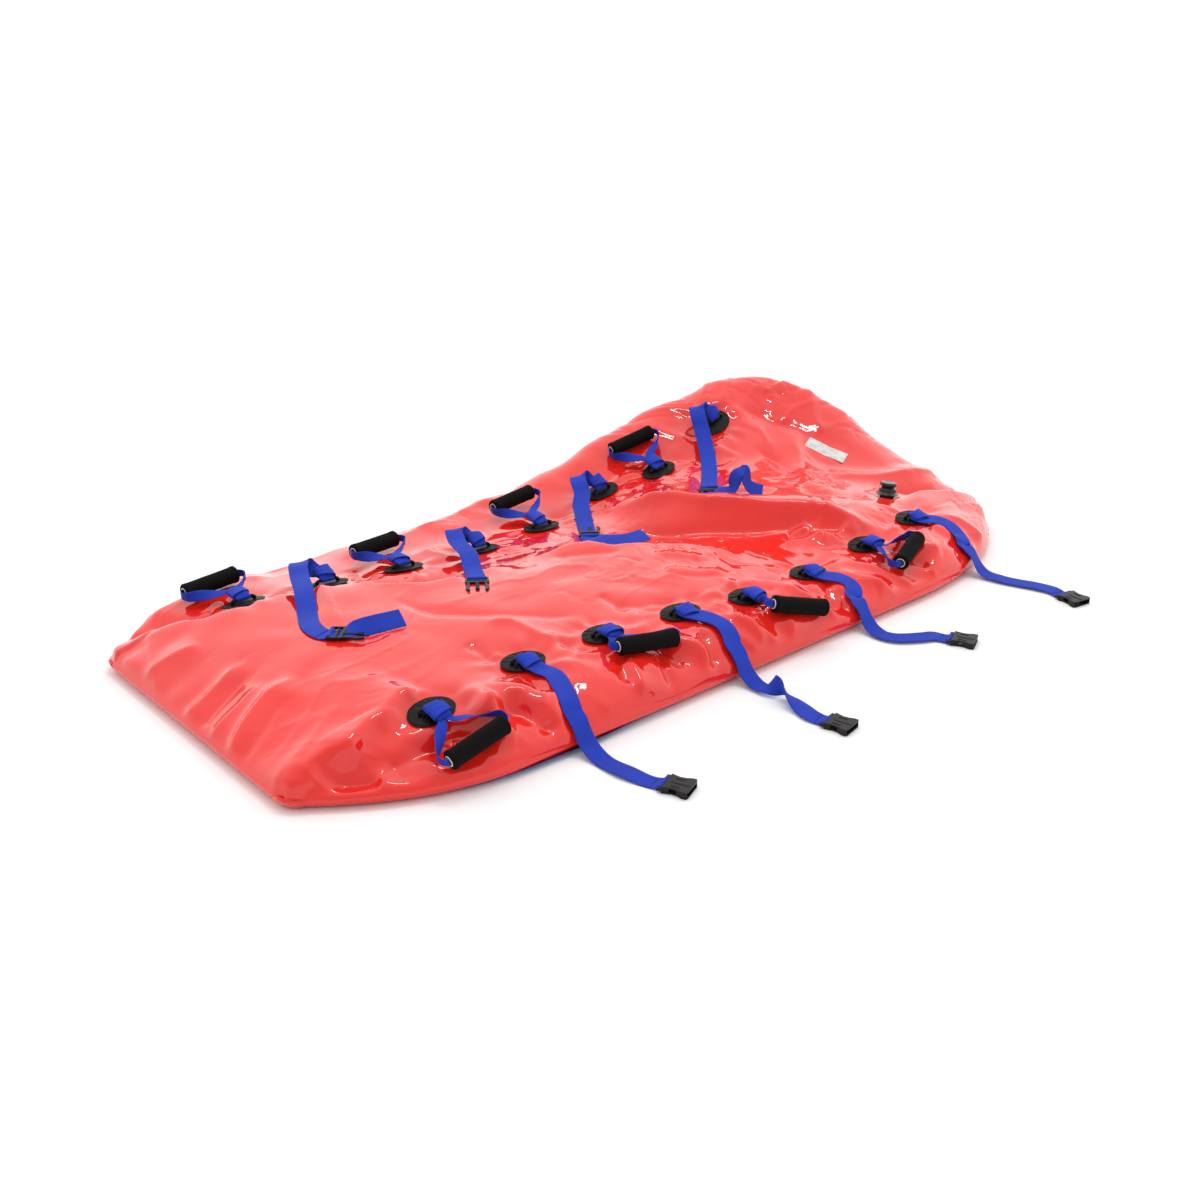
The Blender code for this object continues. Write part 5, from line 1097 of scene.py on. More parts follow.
def noise_on(tree, coords, scale, detail=3.0, roughness=0.55):
    """A noise texture on some coordinates."""
    made = add_node(tree, "ShaderNodeTexNoise", in_Scale=scale, in_Detail=detail, in_Roughness=roughness)
    tree.links.new(coords, made.inputs["Vector"])
    return made.outputs["Fac"]


def mixed_colour(tree, fac, low, high, low_at=0.3, high_at=0.7):
    """A colour that runs from one to another as a value rises."""
    ramp = tree.nodes.new("ShaderNodeValToRGB")
    ramp.color_ramp.elements[0].position = low_at
    ramp.color_ramp.elements[1].position = high_at
    ramp.color_ramp.elements[0].color = (*low, 1.0)
    ramp.color_ramp.elements[1].color = (*high, 1.0)
    tree.links.new(fac, ramp.inputs["Fac"])
    return ramp.outputs["Color"]


def ranged(tree, value, low, high, out_low, out_high):
    """A value carried from one range to another."""
    made = add_node(tree, "ShaderNodeMapRange", in_From_Min=low, in_From_Max=high,
                    in_To_Min=out_low, in_To_Max=out_high)
    tree.links.new(value, made.inputs["Value"])
    return made.outputs["Result"]


def maths(tree, operation, *values):
    """One arithmetic node on one, two or three values."""
    made = add_node(tree, "ShaderNodeMath", operation=operation)
    for k, value in enumerate(values):
        if isinstance(value, (int, float)):
            made.inputs[k].default_value = value
        else:
            tree.links.new(value, made.inputs[k])
    return made.outputs[0]


def bumped(tree, shader, layers):
    """Bumps of several heights one on another, each as value, strength and distance."""
    normal = None
    for value, strength, distance in layers:
        bump = add_node(tree, "ShaderNodeBump", in_Strength=strength, in_Distance=distance)
        tree.links.new(value, bump.inputs["Height"])
        if normal:
            tree.links.new(normal, bump.inputs["Normal"])
        normal = bump.outputs["Normal"]
    tree.links.new(normal, shader.inputs["Normal"])


def tinted(colour, factor):
    """A colour made lighter or darker."""
    return tuple(min(c * factor, 1.0) for c in colour)


def coated_skin(name, colour):
    """Glossy coated cloth: nearly even colour, mirror-like coat, a faint orange peel."""
    made, tree, shader, place = new_finish(name)
    broad = noise_on(tree, place, scale=5.0, detail=3.0)
    tree.links.new(mixed_colour(tree, broad, tinted(colour, 0.93), tinted(colour, 1.05)),
                   shader.inputs["Base Color"])
    dusty = noise_on(tree, place, scale=21.0, detail=5.0, roughness=0.65)
    tree.links.new(ranged(tree, dusty, 0.3, 0.75, 0.045, 0.105), shader.inputs["Roughness"])
    put(shader, Coat_Weight=0.30, Coat_Roughness=0.03, Specular_IOR_Level=0.5)
    peel = noise_on(tree, place, scale=260.0, detail=2.0)
    waves = noise_on(tree, place, scale=34.0, detail=2.0)
    bumped(tree, shader, [(waves, 0.20, 0.0012), (peel, 0.05, 0.0004)])
    return made


# The weave of the webbing: width and slope of its zigzag, pitch of its ribs and of its cords
ZIGZAG_WIDTH = 0.0048
ZIGZAG_SLOPE = 0.45
RIB_PITCH = 0.0021
CORD_PITCH = 0.0013


def woven_webbing(name, colour):
    """Webbing woven in narrow zigzag ribs, drawn on the band's own UV in metres, with painted shade in
    the grooves between the ribs.
    """
    made, tree, shader, place = new_finish(name)
    own = tree.nodes.new("ShaderNodeUVMap")
    own.uv_map = "cloth"
    split = tree.nodes.new("ShaderNodeSeparateXYZ")
    tree.links.new(own.outputs["UV"], split.inputs["Vector"])
    along, across = split.outputs["X"], split.outputs["Y"]

    def wave(value, pitch):
        phase = maths(tree, "MULTIPLY", value, 2.0 * math.pi / pitch)
        return maths(tree, "MULTIPLY_ADD", maths(tree, "SINE", phase), 0.5, 0.5)

    def blend(first, share, second, rest):
        parts = (maths(tree, "MULTIPLY", *pair) for pair in ((first, share), (second, rest)))
        return maths(tree, "ADD", *parts)

    zigzag = maths(tree, "PINGPONG", across, ZIGZAG_WIDTH)
    slanted = maths(tree, "ADD", along, maths(tree, "MULTIPLY", zigzag, ZIGZAG_SLOPE))
    weave = blend(wave(slanted, RIB_PITCH), 0.7, wave(across, CORD_PITCH), 0.3)
    fuzz = noise_on(tree, place, scale=900.0, detail=2.0)
    worn = noise_on(tree, place, scale=30.0, detail=4.0)
    # Colour: painted shade darkens the weave's low grooves, mixed with an uneven tone from broad noise
    groove_shade_and_mottle = blend(weave, 0.55, worn, 0.45)
    tree.links.new(mixed_colour(tree, groove_shade_and_mottle, tinted(colour, 0.55), tinted(colour, 1.20), 0.15, 0.85),
                   shader.inputs["Base Color"])
    put(shader, Roughness=0.72, Specular_IOR_Level=0.25, Sheen_Weight=0.06, Sheen_Roughness=0.5)
    bumped(tree, shader, [(weave, 0.55, 0.0005), (fuzz, 0.15, 0.0003)])
    return made


def moulded(name, colour, roughness, grain, strength, coat=0.0, shine=0.5):
    """A moulded or foamed finish: uneven tone, uneven gloss and a fine grain."""
    made, tree, shader, place = new_finish(name)
    tone = noise_on(tree, place, scale=45.0, detail=5.0, roughness=0.6)
    tree.links.new(mixed_colour(tree, tone, tinted(colour, 0.75), tinted(colour, 1.35)),
                   shader.inputs["Base Color"])
    tree.links.new(ranged(tree, tone, 0.3, 0.7, roughness * 0.88, min(roughness * 1.14, 1.0)),
                   shader.inputs["Roughness"])
    put(shader, Specular_IOR_Level=shine, Coat_Weight=coat, Coat_Roughness=0.15)
    fine = noise_on(tree, place, grain, detail=2.0)
    bumped(tree, shader, [(fine, strength, 0.0004)])
    return made


def beads(name, colour):
    """Small round beads packed together, each painted darker towards its rim as painted shade between the
    beads.
    """
    made, tree, shader, place = new_finish(name)
    cells = add_node(tree, "ShaderNodeTexVoronoi", in_Scale=420.0)
    tree.links.new(place, cells.inputs["Vector"])
    # Painted shade: the colour darkens with the distance from each bead's middle, towards where beads
    # meet
    tree.links.new(mixed_colour(tree, cells.outputs["Distance"], colour, tinted(colour, 0.7), 0.0, 0.6),
                   shader.inputs["Base Color"])
    put(shader, Roughness=0.6)
    bumped(tree, shader, [(cells.outputs["Distance"], 0.6, 0.001)])
    return made


# How each finish is made: the function, a colour or the name of one that a user may change, and
# for a moulded one its roughness, its grain and how deep that is, its coat and its shine
RECIPES = {
    "skin_red": (coated_skin, "skin"),
    "skin_blue": (coated_skin, "base"),
    "webbing_blue": (woven_webbing, "webbing"),
    "grip_foam": (moulded, "foam", 0.86, 700.0, 0.45, 0.0, 0.10),
    "grip_tube": (moulded, "tube", 0.5, 200.0, 0.1),
    "patch_rubber": (moulded, "rubber", 0.42, 320.0, 0.25, 0.0, 0.12),
    "buckle_nylon": (moulded, "nylon", 0.34, 500.0, 0.15, 0.0, 0.24),
    "valve_plastic": (moulded, "valve", 0.22, 260.0, 0.06, 0.3),
    "seal_rubber": (moulded, "rubber", 0.6, 300.0, 0.2),
    "label_vinyl": (moulded, "label", 0.5, 150.0, 0.12),
    "filter_mesh": (moulded, (0.35, 0.35, 0.34), 0.7, 1200.0, 0.5),
    "bead_white": (beads, (0.80, 0.80, 0.78)),
}
FINISHES = {}


def finish(name):
    """A finish by its name, made once."""
    if name not in FINISHES:
        maker, colour, *numbers = RECIPES[name]
        if isinstance(colour, str):
            colour = tuple(getattr(bpy.context.scene.mattress_colours, colour))
        FINISHES[name] = maker(name, colour, *numbers)
    return FINISHES[name]


# Where things are


def joint_place(name):
    """Place and axis of a joint, the axis turned towards the head."""
    joint = JOINTS[name]
    axis = unit(np.array(joint["axis"], float))
    return np.array(joint["pos_m"], float), axis if axis[0] >= 0.0 else -axis


def ports():
    """Place and axis of every patch bar, by side, kind and number."""
    found = {}
    for side in SIDES:
        for kind in ("handle", "strap"):
            for k in range(1, 5):
                found[side, kind, k] = joint_place(f"{side}_{kind}_{k}_lift")
    return found


PORTS = ports()


def middle_of(node):
    """Middle of a node's box."""
    low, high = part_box(node)
    return 0.5 * (np.array(low) + np.array(high))


def ground_at(x, y):
    """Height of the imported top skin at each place, and where there is none."""
    return dropped_on(np.stack([x, y, np.ones(x.shape)], 2), [NODES["top_skin"]])


def place_piece(made, body, node=None):
    """Let a piece ride on a body and stand for a node, and mark it as something that the top skin
    stays under."""
    made["on_skin"] = 1
    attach(made, body)
    if node:
        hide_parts(node)
    return made


def tube_along(centres, radius, columns, side):
    """Points and faces of a round tube along a path, its radius one or one for each place."""
    count = len(centres)
    sides, ups = frames_along(centres, np.repeat(side[None], count, 0))
    angles = turns_of(columns)
    ring = np.column_stack([np.cos(angles), np.sin(angles)])
    profile = ring[None] * np.broadcast_to(np.asarray(radius, float).reshape(-1, 1, 1), (count, 1, 1))
    return swept(centres, sides, ups, profile)


def knot_parts(bar, axis, toward, up, sizes, number, reach):
    """The knot of a webbing loop: a puffed fold of webbing and two bands wrapped over it.

    The fold's section is |cos|^0.5 by |sin|^0.6, swelling as sin(pi t) along its run; each band
    goes round the section, leaning one way and then the other."""
    loop, thick = sizes.loop_width, sizes.webbing_thickness
    run = np.linspace(0.0, reach, 25)
    share = run / reach
    swell = np.sin(math.pi * np.clip(share, 0.04, 0.96)) ** 0.6
    tall = KNOT_TALL[0] + KNOT_TALL[1] * swell
    wide = loop * (KNOT_WIDE[0] + KNOT_WIDE[1] * swell - KNOT_WIDE[2] * share)
    angles = turns_of(KNOT_AROUND)
    box = boxed(np.cos(angles), 0.5)
    round_box = boxed(np.sin(angles), 0.6)
    depth, waves, phase, pitch = KNOT_CRUMPLES
    crumple = 1.0 + depth * np.cos(waves * angles + phase * number)[None] * np.sin(run * pitch)[:, None]
    profile = np.stack([wide[:, None] * box, tall[:, None] * round_box * crumple], 2)
    line = bar + toward * (run[:, None] - 0.002) + up * (0.0044 * swell)[:, None]
    count = len(run)
    points, quads = swept(line, np.repeat(axis[None], count, 0), np.repeat(up[None], count, 0), profile)
    uv = np.stack([np.repeat(run[:, None], KNOT_AROUND, 1), profile[:, :, 0]], 2).reshape(-1, 2)
    parts = [(points, quads, uv)]
    lean = WRAP_LEAN if number % 2 else -WRAP_LEAN
    angle = np.linspace(0.0, 2.0 * math.pi, 57)[:-1, None]
    for at, share, size in WRAPS:
        tip = share * lean
        flat = WRAP_WIDE * loop * size
        rim = (
            bar + toward * (reach * at) + up * WRAP_UP + axis * (flat * np.cos(angle))
            + up * (WRAP_TALL * size * boxed(np.sin(angle), 0.75))
            + toward * (tip * 0.5 * flat * np.cos(angle))
        )
        around = unit(np.roll(rim, -1, 0) - np.roll(rim, 1, 0))
        broad = unit(toward - around * (around * toward).sum(1, keepdims=True))
        wrap = band_profile(WRAP_HALF_WIDTH, thick * 0.9, 8)
        points, quads = swept(rim, broad, np.cross(around, broad), wrap, closed=True)
        uv = np.stack([np.repeat(angle * 0.012, len(wrap), 1),
                       np.repeat(wrap[None, :, 0], len(rim), 0)], 2).reshape(-1, 2)
        parts.append((points, quads, uv))
    return parts


def tilted(rows, turns, half_width):
    """A route with its webbing turned about its run, and raised so that its low edge stays put.

    The turn eases from the first value to the second; the rise is half_width |sin(turn)|."""
    ways = unit(np.gradient(rows[:, :3], axis=0))
    share = smooth_step(np.linspace(0.0, 1.0, len(rows)), 0.0, 0.45)
    turn = np.radians(turns[0] + (turns[1] - turns[0]) * share)[:, None]
    sides = unit(rows[:, 3:6])
    result = rows.copy()
    result[:, 3:6] = sides * np.cos(turn) + np.cross(ways, sides) * np.sin(turn)
    result[:, 2:3] += half_width * np.abs(np.sin(turn)) * 0.9
    return result


def stitch_rows(centre, side, up, way, half_width, lift, gaps):
    """Rows of sewn thread across a band, each a thin tube that dips every 3 mm."""
    across = np.linspace(-0.88, 0.88, 61) * half_width
    dips = THREAD_DIP * np.cos(across * 2.0 * math.pi / STITCH)
    lines = [centre + way * gap + side * across[:, None] + up * (lift + dips)[:, None] for gap in gaps]
    return [tube_along(line, THREAD_RADIUS, 6, way) for line in lines]


class PieceOperator:
    """Options that all the operators share."""

    bl_options = {"REGISTER", "UNDO"}


class MATTRESS_OT_patches(PieceOperator, bpy.types.Operator):
    """Oval rubber patches, crimped at the rim, each with its raised bar.

    Height over the skin falls from the middle to the rim as 1 - 0.55 r^8, less grooves
    exp(-(a/w)^2) at uneven angles a, with a low bead just inside the rim."""

    bl_idname = "mattress.patches"
    bl_label = "Webbing patches"

    def execute(self, context):
        sizes = context.scene.mattress_sizes
        angles = turns_of(PATCH_AROUND)
        shares = np.concatenate([np.linspace(0.0, 1.0, PATCH_RINGS) ** 0.8, PATCH_UNDERSIDE])
        fade = smooth_step(shares, 0.42, 0.70)[:, None]
        run = np.linspace(-BAR_HALF_SPAN, BAR_HALF_SPAN, 61)
        drop = BAR_DROP * smooth_step(np.abs(run), BAR_BENDS_AT, BAR_HALF_SPAN)
        radius = BAR_RADIUS + BAR_FOOT * smooth_step(np.abs(run), *BAR_FOOT_RANGE)
        for number, ((side, kind, k), (bar, axis)) in enumerate(PORTS.items()):
            draw = np.random.default_rng(PATCH_SEED + number)
            name = f"{side}_{kind}_patch"
            middle = middle_of(f"{name}_{k}")
            x = middle[0] + 0.5 * sizes.patch_length * shares[:, None] * np.cos(angles)
            y = middle[1] + 0.5 * sizes.patch_width * shares[:, None] * np.sin(angles)
            ground, _ = ground_at(x, y)
            top = sizes.patch_thickness * (1.0 - 0.55 * shares ** 8)[:, None] * np.ones(x.shape)
            creases = np.sort(draw.uniform(0.0, 2.0 * math.pi, CRIMPS))
            wide = draw.uniform(*CRIMP_WIDTHS, CRIMPS)
            deep = draw.uniform(*CRIMP_DEPTHS, CRIMPS)
            for angle, width, depth in zip(creases, wide, deep):
                off = (angles - angle + math.pi) % (2.0 * math.pi) - math.pi
                top -= depth * fade * np.exp(-(off / width) ** 2)
            top += 0.0005 * np.exp(-((shares - 0.93) / 0.04) ** 2)[:, None]
            top += 0.0006 * np.exp(-(shares / 0.35) ** 2)[:, None]
            top[PATCH_RINGS] = 0.5 * sizes.patch_thickness
            top[PATCH_RINGS + 1:] = PATCH_LIFT
            points = np.stack([x, y, ground + PATCH_LIFT + top], 2).reshape(-1, 3)
            plate = (points, list(grid_quads(len(shares), PATCH_AROUND, wrap_columns=True)))
            up = unit(pointing_up(np.cross(axis, ACROSS)))
            line = bar + axis * run[:, None] - up * drop[:, None]
            points, quads, _ = together([plate, tube_along(line, radius, 16, ACROSS)])
            made = outward(add_mesh(f"{name}_piece_{k}", points, quads, finish("patch_rubber")))
            place_piece(made, "mattress", f"{name}_{k}")
        return {"FINISHED"}


def dented(seed):
    """Small dents for a turned foam sleeve: 1 + 0.01 noise, where the radius is over 12 mm."""
    def scale(profile, angles):
        bump = value_noise(profile[:, 1:2], angles[None] * 0.006, 0.009, seed)
        return 1.0 + 0.010 * bump * (profile[:, :1] > 0.012)
    return scale


class MATTRESS_OT_grips(PieceOperator, bpy.types.Operator):
    """Foam grips: a turned sleeve with soft beaded ends on a pale tube.

    The sleeve's radius is the waist's plus a bead exp(-(d/w)^2) near each end."""

    bl_idname = "mattress.grips"
    bl_label = "Foam grips"

    def execute(self, context):
        sizes = context.scene.mattress_sizes
        half, radius, tube = 0.5 * sizes.grip_length, sizes.grip_radius, sizes.tube_radius
        run = np.linspace(-half, half, 81)
        end = half - np.abs(run)
        bead = np.exp(-((end - GRIP_BEAD_AT) / GRIP_BEAD_WIDTH) ** 2)
        shape = radius * GRIP_WAIST_SHARE + radius * GRIP_BEAD_SHARE * bead
        shape -= GRIP_END_DROP * (1.0 - smooth_step(end, 0.0, GRIP_END_ROUND)) ** 2
        sleeve = np.vstack([
            [[tube + 0.0002, -half + 0.0004]], np.column_stack([shape, run]),
            [[tube + 0.0002, half - 0.0004]],
        ])
        lip = half + TUBE_PROUD
        inset, back = TUBE_EASE
        core = [(TUBE_BORE, -lip), (tube - inset, -lip), (tube, -lip + back), (tube, lip - back),
                (tube - inset, lip), (TUBE_BORE, lip)]
        for side in SIDES:
            for k in range(1, 5):
                place, axis = joint_place(f"{side}_grip_{k}_turn")
                seed = k + (4 if side == "far" else 0)
                points, quads = revolved(sleeve, 48, place, axis, dented(seed))
                foam = outward(add_mesh(f"{side}_grip_foam_{k}", points, quads, finish("grip_foam")))
                place_piece(foam, f"{side}_grip_{k}", f"{side}_handle_grip_{k}")
                points, quads = revolved(core, 40, place, axis)
                made = add_mesh(f"{side}_grip_tube_{k}", points, quads, finish("grip_tube"), sharp=40)
                place_piece(outward(made), f"{side}_grip_{k}")
        return {"FINISHED"}


def turned_rows(route, flat, edge):
    """Rows of a route of place, turn in degrees and half width.

    The webbing's sideways direction is flat cos t + edge sin t, both made square to its run."""
    spots = np.array([spot for spot, _, _ in route])
    rows = []
    for (spot, turn, _), way in zip(route, unit(np.gradient(spots, axis=0))):
        angle = math.radians(turn)
        side = square_to(flat, way) * math.cos(angle) + square_to(edge, way) * math.sin(angle)
        rows.append(np.concatenate([spot, side]))
    return rows


class MATTRESS_OT_handle_webbing(PieceOperator, bpy.types.Operator):
    """Webbing of the carry handles: a loop round the patch bar, a knot, and two legs that turn
    on edge and run into the grip's tube, each a band carried along a smooth path."""

    bl_idname = "mattress.handle_webbing"
    bl_label = "Handle webbing"

    def execute(self, context):
        sizes = context.scene.mattress_sizes
        thick, loop = sizes.webbing_thickness, sizes.loop_width
        half = 0.5 * sizes.grip_length
        for side in SIDES:
            for k in range(1, 5):
                bar, axis = PORTS[side, "handle", k]
                centre, along = joint_place(f"{side}_grip_{k}_turn")
                reach = centre - bar
                toward = square_to(reach, axis)
                out = square_to(reach, along)
                up = pointing_up(np.cross(axis, toward))
                parts = [hoop(bar, axis, PORT_HOOP, 0.5 * loop, thick, toward)]
                parts += knot_parts(bar, axis, toward, up, sizes, k, HANDLE_KNOT)
                for sign in (-1.0, 1.0):
                    end = along * sign
                    leave = bar + toward * (NECK_END + 0.2 * NECK) + axis * sign * 0.0081
                    turn_in = centre + end * (half + 1.8 * LEG_ROOM) - out * LEG_BESIDE * 1.15
                    bend = centre + end * (half + 2.0 * LEG_ROOM) - out * LEG_BESIDE * 0.35
                    route = [
                        (bar + toward * (NECK_END - 0.35 * NECK) + axis * sign * 0.0078, 0.0, 0.0072),
                        (leave, 6.0, 0.0078), (leave + (turn_in - leave) * 0.35, 25.0, 0.0108),
                        (leave + (turn_in - leave) * 0.7, 60.0, 0.0108), (turn_in, 90.0, 0.0090),
                        (bend, 90.0, 0.0075), (centre + end * (half + LEG_ROOM), 90.0, 0.0076),
                        (centre + end * (half - 3.0 * LEG_ROOM), 90.0, 0.0076),
                    ]
                    rows = turned_rows(route, axis, np.cross(along, out))
                    widths = [width for _, _, width in route]
                    parts.append(band(rows, widths, [thick] * len(rows), 0.003))
                points, quads, uv = together(parts)
                name = f"{side}_handle_webbing"
                made = add_mesh(f"{name}_piece_{k}", points, quads, finish("webbing_blue"), uv)
                place_piece(outward(made), f"{side}_handle_{k}", f"{name}_{k}")
        return {"FINISHED"}


def strap_parts(route, bar, axis, buckle, buckle_axis, sizes, lap, number):
    """A strap's parts: its hoop, the band with its sewn start, the buckle's hoop and stitches."""
    thick, wide, loop = sizes.webbing_thickness, sizes.webbing_width, sizes.loop_width
    rows = np.array(route, float)
    toward = unit(rows[0, :3] - bar)
    level = square_to(toward, axis)
    rise = pointing_up(np.cross(axis, level))
    back = unit(rows[-1, :3] - buckle)
    first = np.concatenate([bar + toward * PORT_HOOP, axis])
    axis_end = buckle_axis * np.sign(np.dot(buckle_axis, rows[-1, 3:6]))
    last = np.concatenate([buckle + back * STRAP_END, axis_end])
    rows = np.vstack([first, rows, last])
    widths = np.full(len(rows), 0.5 * wide)
    widths[:2] = 0.5 * loop, 0.5 * loop + 0.001
    run = run_along(rows[:, :3])
    thicks = thick * (1.0 + 0.9 * (1.0 - smooth_step(run, *DOUBLED_RANGE)))
    if lap:
        thicks = thicks + thick * 0.9 * smooth_step(run, run[-1] - lap, run[-1] - lap + 0.006)
    parts = knot_parts(bar, axis, level, rise, sizes, number, STRAP_KNOT)
    parts += [
        hoop(bar, axis, PORT_HOOP, 0.5 * loop, thick, toward),
        band(rows, widths, thicks),
        hoop(buckle, buckle_axis, BUCKLE_HOOP, 0.5 * wide, thick, back),
    ]
    fine = path_through(rows, SEAM_STEP)
    sides, ups = frames_along(fine[:, :3], fine[:, 3:6])
    at = len(fine) - 1 - int(SEAM_FROM_END / SEAM_STEP)
    way = unit(np.gradient(fine[:, :3], axis=0))[at]
    lift = 0.5 * thick * (1.9 if lap else 1.0) + 0.0001
    for sign in (1.0, -1.0):
        up = ups[at] * sign
        parts += stitch_rows(fine[at, :3], sides[at], up, way, 0.5 * wide, lift, SEAM_ROWS)
    return parts


class MATTRESS_OT_near_straps(PieceOperator, bpy.types.Operator):
    """Near patient straps, each a band of webbing carried from its patch bar over the edge to
    the bar of its female buckle."""

    bl_idname = "mattress.near_straps"
    bl_label = "Near straps"

    def execute(self, context):
        sizes = context.scene.mattress_sizes
        for k, route in enumerate(NEAR_ROUTES, 1):
            bar, axis = PORTS["near", "strap", k]
            buckle, buckle_axis = joint_place(f"female_buckle_{k}_tilt")
            parts = strap_parts(route, bar, axis, buckle, buckle_axis, sizes, 0.0, k)
            points, quads, uv = together(parts)
            made = add_mesh(f"near_strap_piece_{k}", points, quads, finish("webbing_blue"), uv)
            place_piece(outward(made), f"near_strap_{k}", f"near_strap_{k}")
        return {"FINISHED"}


class MATTRESS_OT_far_straps(PieceOperator, bpy.types.Operator):
    """Far patient straps, each folded back over the top to its male buckle, with a free tail."""

    bl_idname = "mattress.far_straps"
    bl_label = "Far straps"

    def execute(self, context):
        sizes = context.scene.mattress_sizes
        thick, wide = sizes.webbing_thickness, sizes.webbing_width
        for k, (route, tail) in enumerate(zip(FAR_ROUTES, TAIL_ROUTES), 1):
            bar, axis = PORTS["far", "strap", k]
            buckle, buckle_axis = joint_place(f"male_buckle_{k}_tilt")
            lap = LAP if k == LAPPED_STRAP else 0.0
            parts = strap_parts(route, bar, axis, buckle, buckle_axis, sizes, lap, k + 1)
            if tail:
                rows = tilted(np.array(tail, float), TAIL_TILTS[k - 1], 0.5 * wide)
                leave = unit(rows[0, :3] - buckle)
                start = np.concatenate([buckle + leave * BUCKLE_HOOP, rows[0, 3:6]])
                rows = np.vstack([start, rows])
                parts.append(band(rows, [0.5 * wide] * len(rows), [thick] * len(rows)))
            points, quads, uv = together(parts)
            made = add_mesh(f"far_strap_piece_{k}", points, quads, finish("webbing_blue"), uv)
            place_piece(outward(made), f"far_strap_{k}", f"far_strap_{k}")
        return {"FINISHED"}


def eased_copy(node, name, material, bevel):
    """A copy of a rigid node with its points merged and its edges rounded."""
    mesh = NODES[node].data.copy()
    work = bmesh.new()
    work.from_mesh(mesh)
    bmesh.ops.remove_doubles(work, verts=work.verts, dist=0.00001)
    bmesh.ops.dissolve_limit(work, angle_limit=math.radians(1.0), verts=work.verts, edges=work.edges)
    work.to_mesh(mesh)
    work.free()
    mesh.materials.clear()
    mesh.materials.append(material)
    made = bpy.data.objects.new(name, mesh)
    bpy.context.scene.collection.objects.link(made)
    ease = made.modifiers.new("ease", "BEVEL")
    ease.width = bevel
    ease.segments = 2
    ease.limit_method = "ANGLE"
    ease.angle_limit = math.radians(40.0)
    ease.harden_normals = False
    mesh.shade_smooth()
    mesh.set_sharp_from_angle(angle=math.radians(50.0))
    return made


def buckle_ribs(k):
    """Raised ribs on both faces of a female buckle: one down its middle, one each side.

    Each is a low bar with its top rounded as sqrt(1 - t^8) along its length."""
    bar, axis = joint_place(f"female_buckle_{k}_tilt")
    ahead = unit(np.cross(axis, UPRIGHT))
    ahead = ahead if np.dot(middle_of(f"female_buckle_{k}") - bar, ahead) > 0.0 else -ahead
    angles = turns_of(16)
    ring = np.stack([boxed(np.cos(angles), 0.5), boxed(np.sin(angles), 0.5)], 1)
    tall = RIB_HEIGHT * np.sqrt(np.clip(1.0 - np.linspace(-1.0, 1.0, RIB_PLACES) ** 8, 0.04, 1.0))
    sides, ups = (np.repeat(way[None], RIB_PLACES, 0) for way in (axis, UPRIGHT))
    parts = []
    for face in (1.0, -1.0):
        for shift, wide, start, end in RIBS:
            run = np.linspace(start, end, RIB_PLACES)
            line = bar + ahead * run[:, None] + axis * shift + UPRIGHT * face * RIB_FACE
            profile = ring[None] * np.stack([np.full(RIB_PLACES, wide), tall], 1)[:, None, :]
            parts.append(swept(line, sides, ups, profile))
    points, quads, _ = together(parts)
    return add_mesh(f"female_buckle_rib_{k}", points, quads, finish("buckle_nylon"))


class MATTRESS_OT_buckles(PieceOperator, bpy.types.Operator):
    """Female and male buckles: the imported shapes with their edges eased."""

    bl_idname = "mattress.buckles"
    bl_label = "Buckles"

    def execute(self, context):
        sizes = context.scene.mattress_sizes
        for kind in ("female", "male"):
            for k in range(1, 5):
                node = f"{kind}_buckle_{k}"
                made = eased_copy(node, f"{node}_piece", finish("buckle_nylon"), sizes.bevel)
                place_piece(made, node, node)
                if kind == "female":
                    place_piece(outward(buckle_ribs(k)), node)
        return {"FINISHED"}


class MATTRESS_OT_valve(PieceOperator, bpy.types.Operator):
    """Air valve: body and knob turned about the valve's axis from rounded profiles.

    Round its rim the knob's radius is less by 0.028 (0.5 + 0.5 cos 18 a)^3 of itself."""

    bl_idname = "mattress.valve"
    bl_label = "Air valve"

    def execute(self, context):
        axis = pointing_up(unit(np.array(JOINTS["valve_pull"]["axis"], float)))
        middle = middle_of("valve_body")
        heights = (points_of(NODES["valve_body"]) - middle) @ axis
        base = middle + axis * (heights.min() + VALVE_SEAT)

        def ribbed(profile, angles):
            ribs = 0.5 + 0.5 * np.cos(KNOB_RIBS * angles)
            rim = smooth_step(profile[:, 0], *KNOB_RIM)[:, None]
            return 1.0 - KNOB_RIB_DEPTH * rim * ribs[None] ** 3

        for node, body, profile, steps, rule in (
            ("valve_body", "mattress", VALVE_BODY, 64, None),
            ("valve_knob", "valve_knob", VALVE_KNOB, 144, ribbed),
        ):
            points, quads = revolved(profile, steps, base, axis, rule)
            made = outward(add_mesh(f"{node}_piece", points, quads, finish("valve_plastic"), sharp=50))
            place_piece(made, body, node)
        for node, name in (("valve_seal", "seal_rubber"), ("bead_filter", "filter_mesh")):
            NODES[node].data.materials.clear()
            NODES[node].data.materials.append(finish(name))
        return {"FINISHED"}


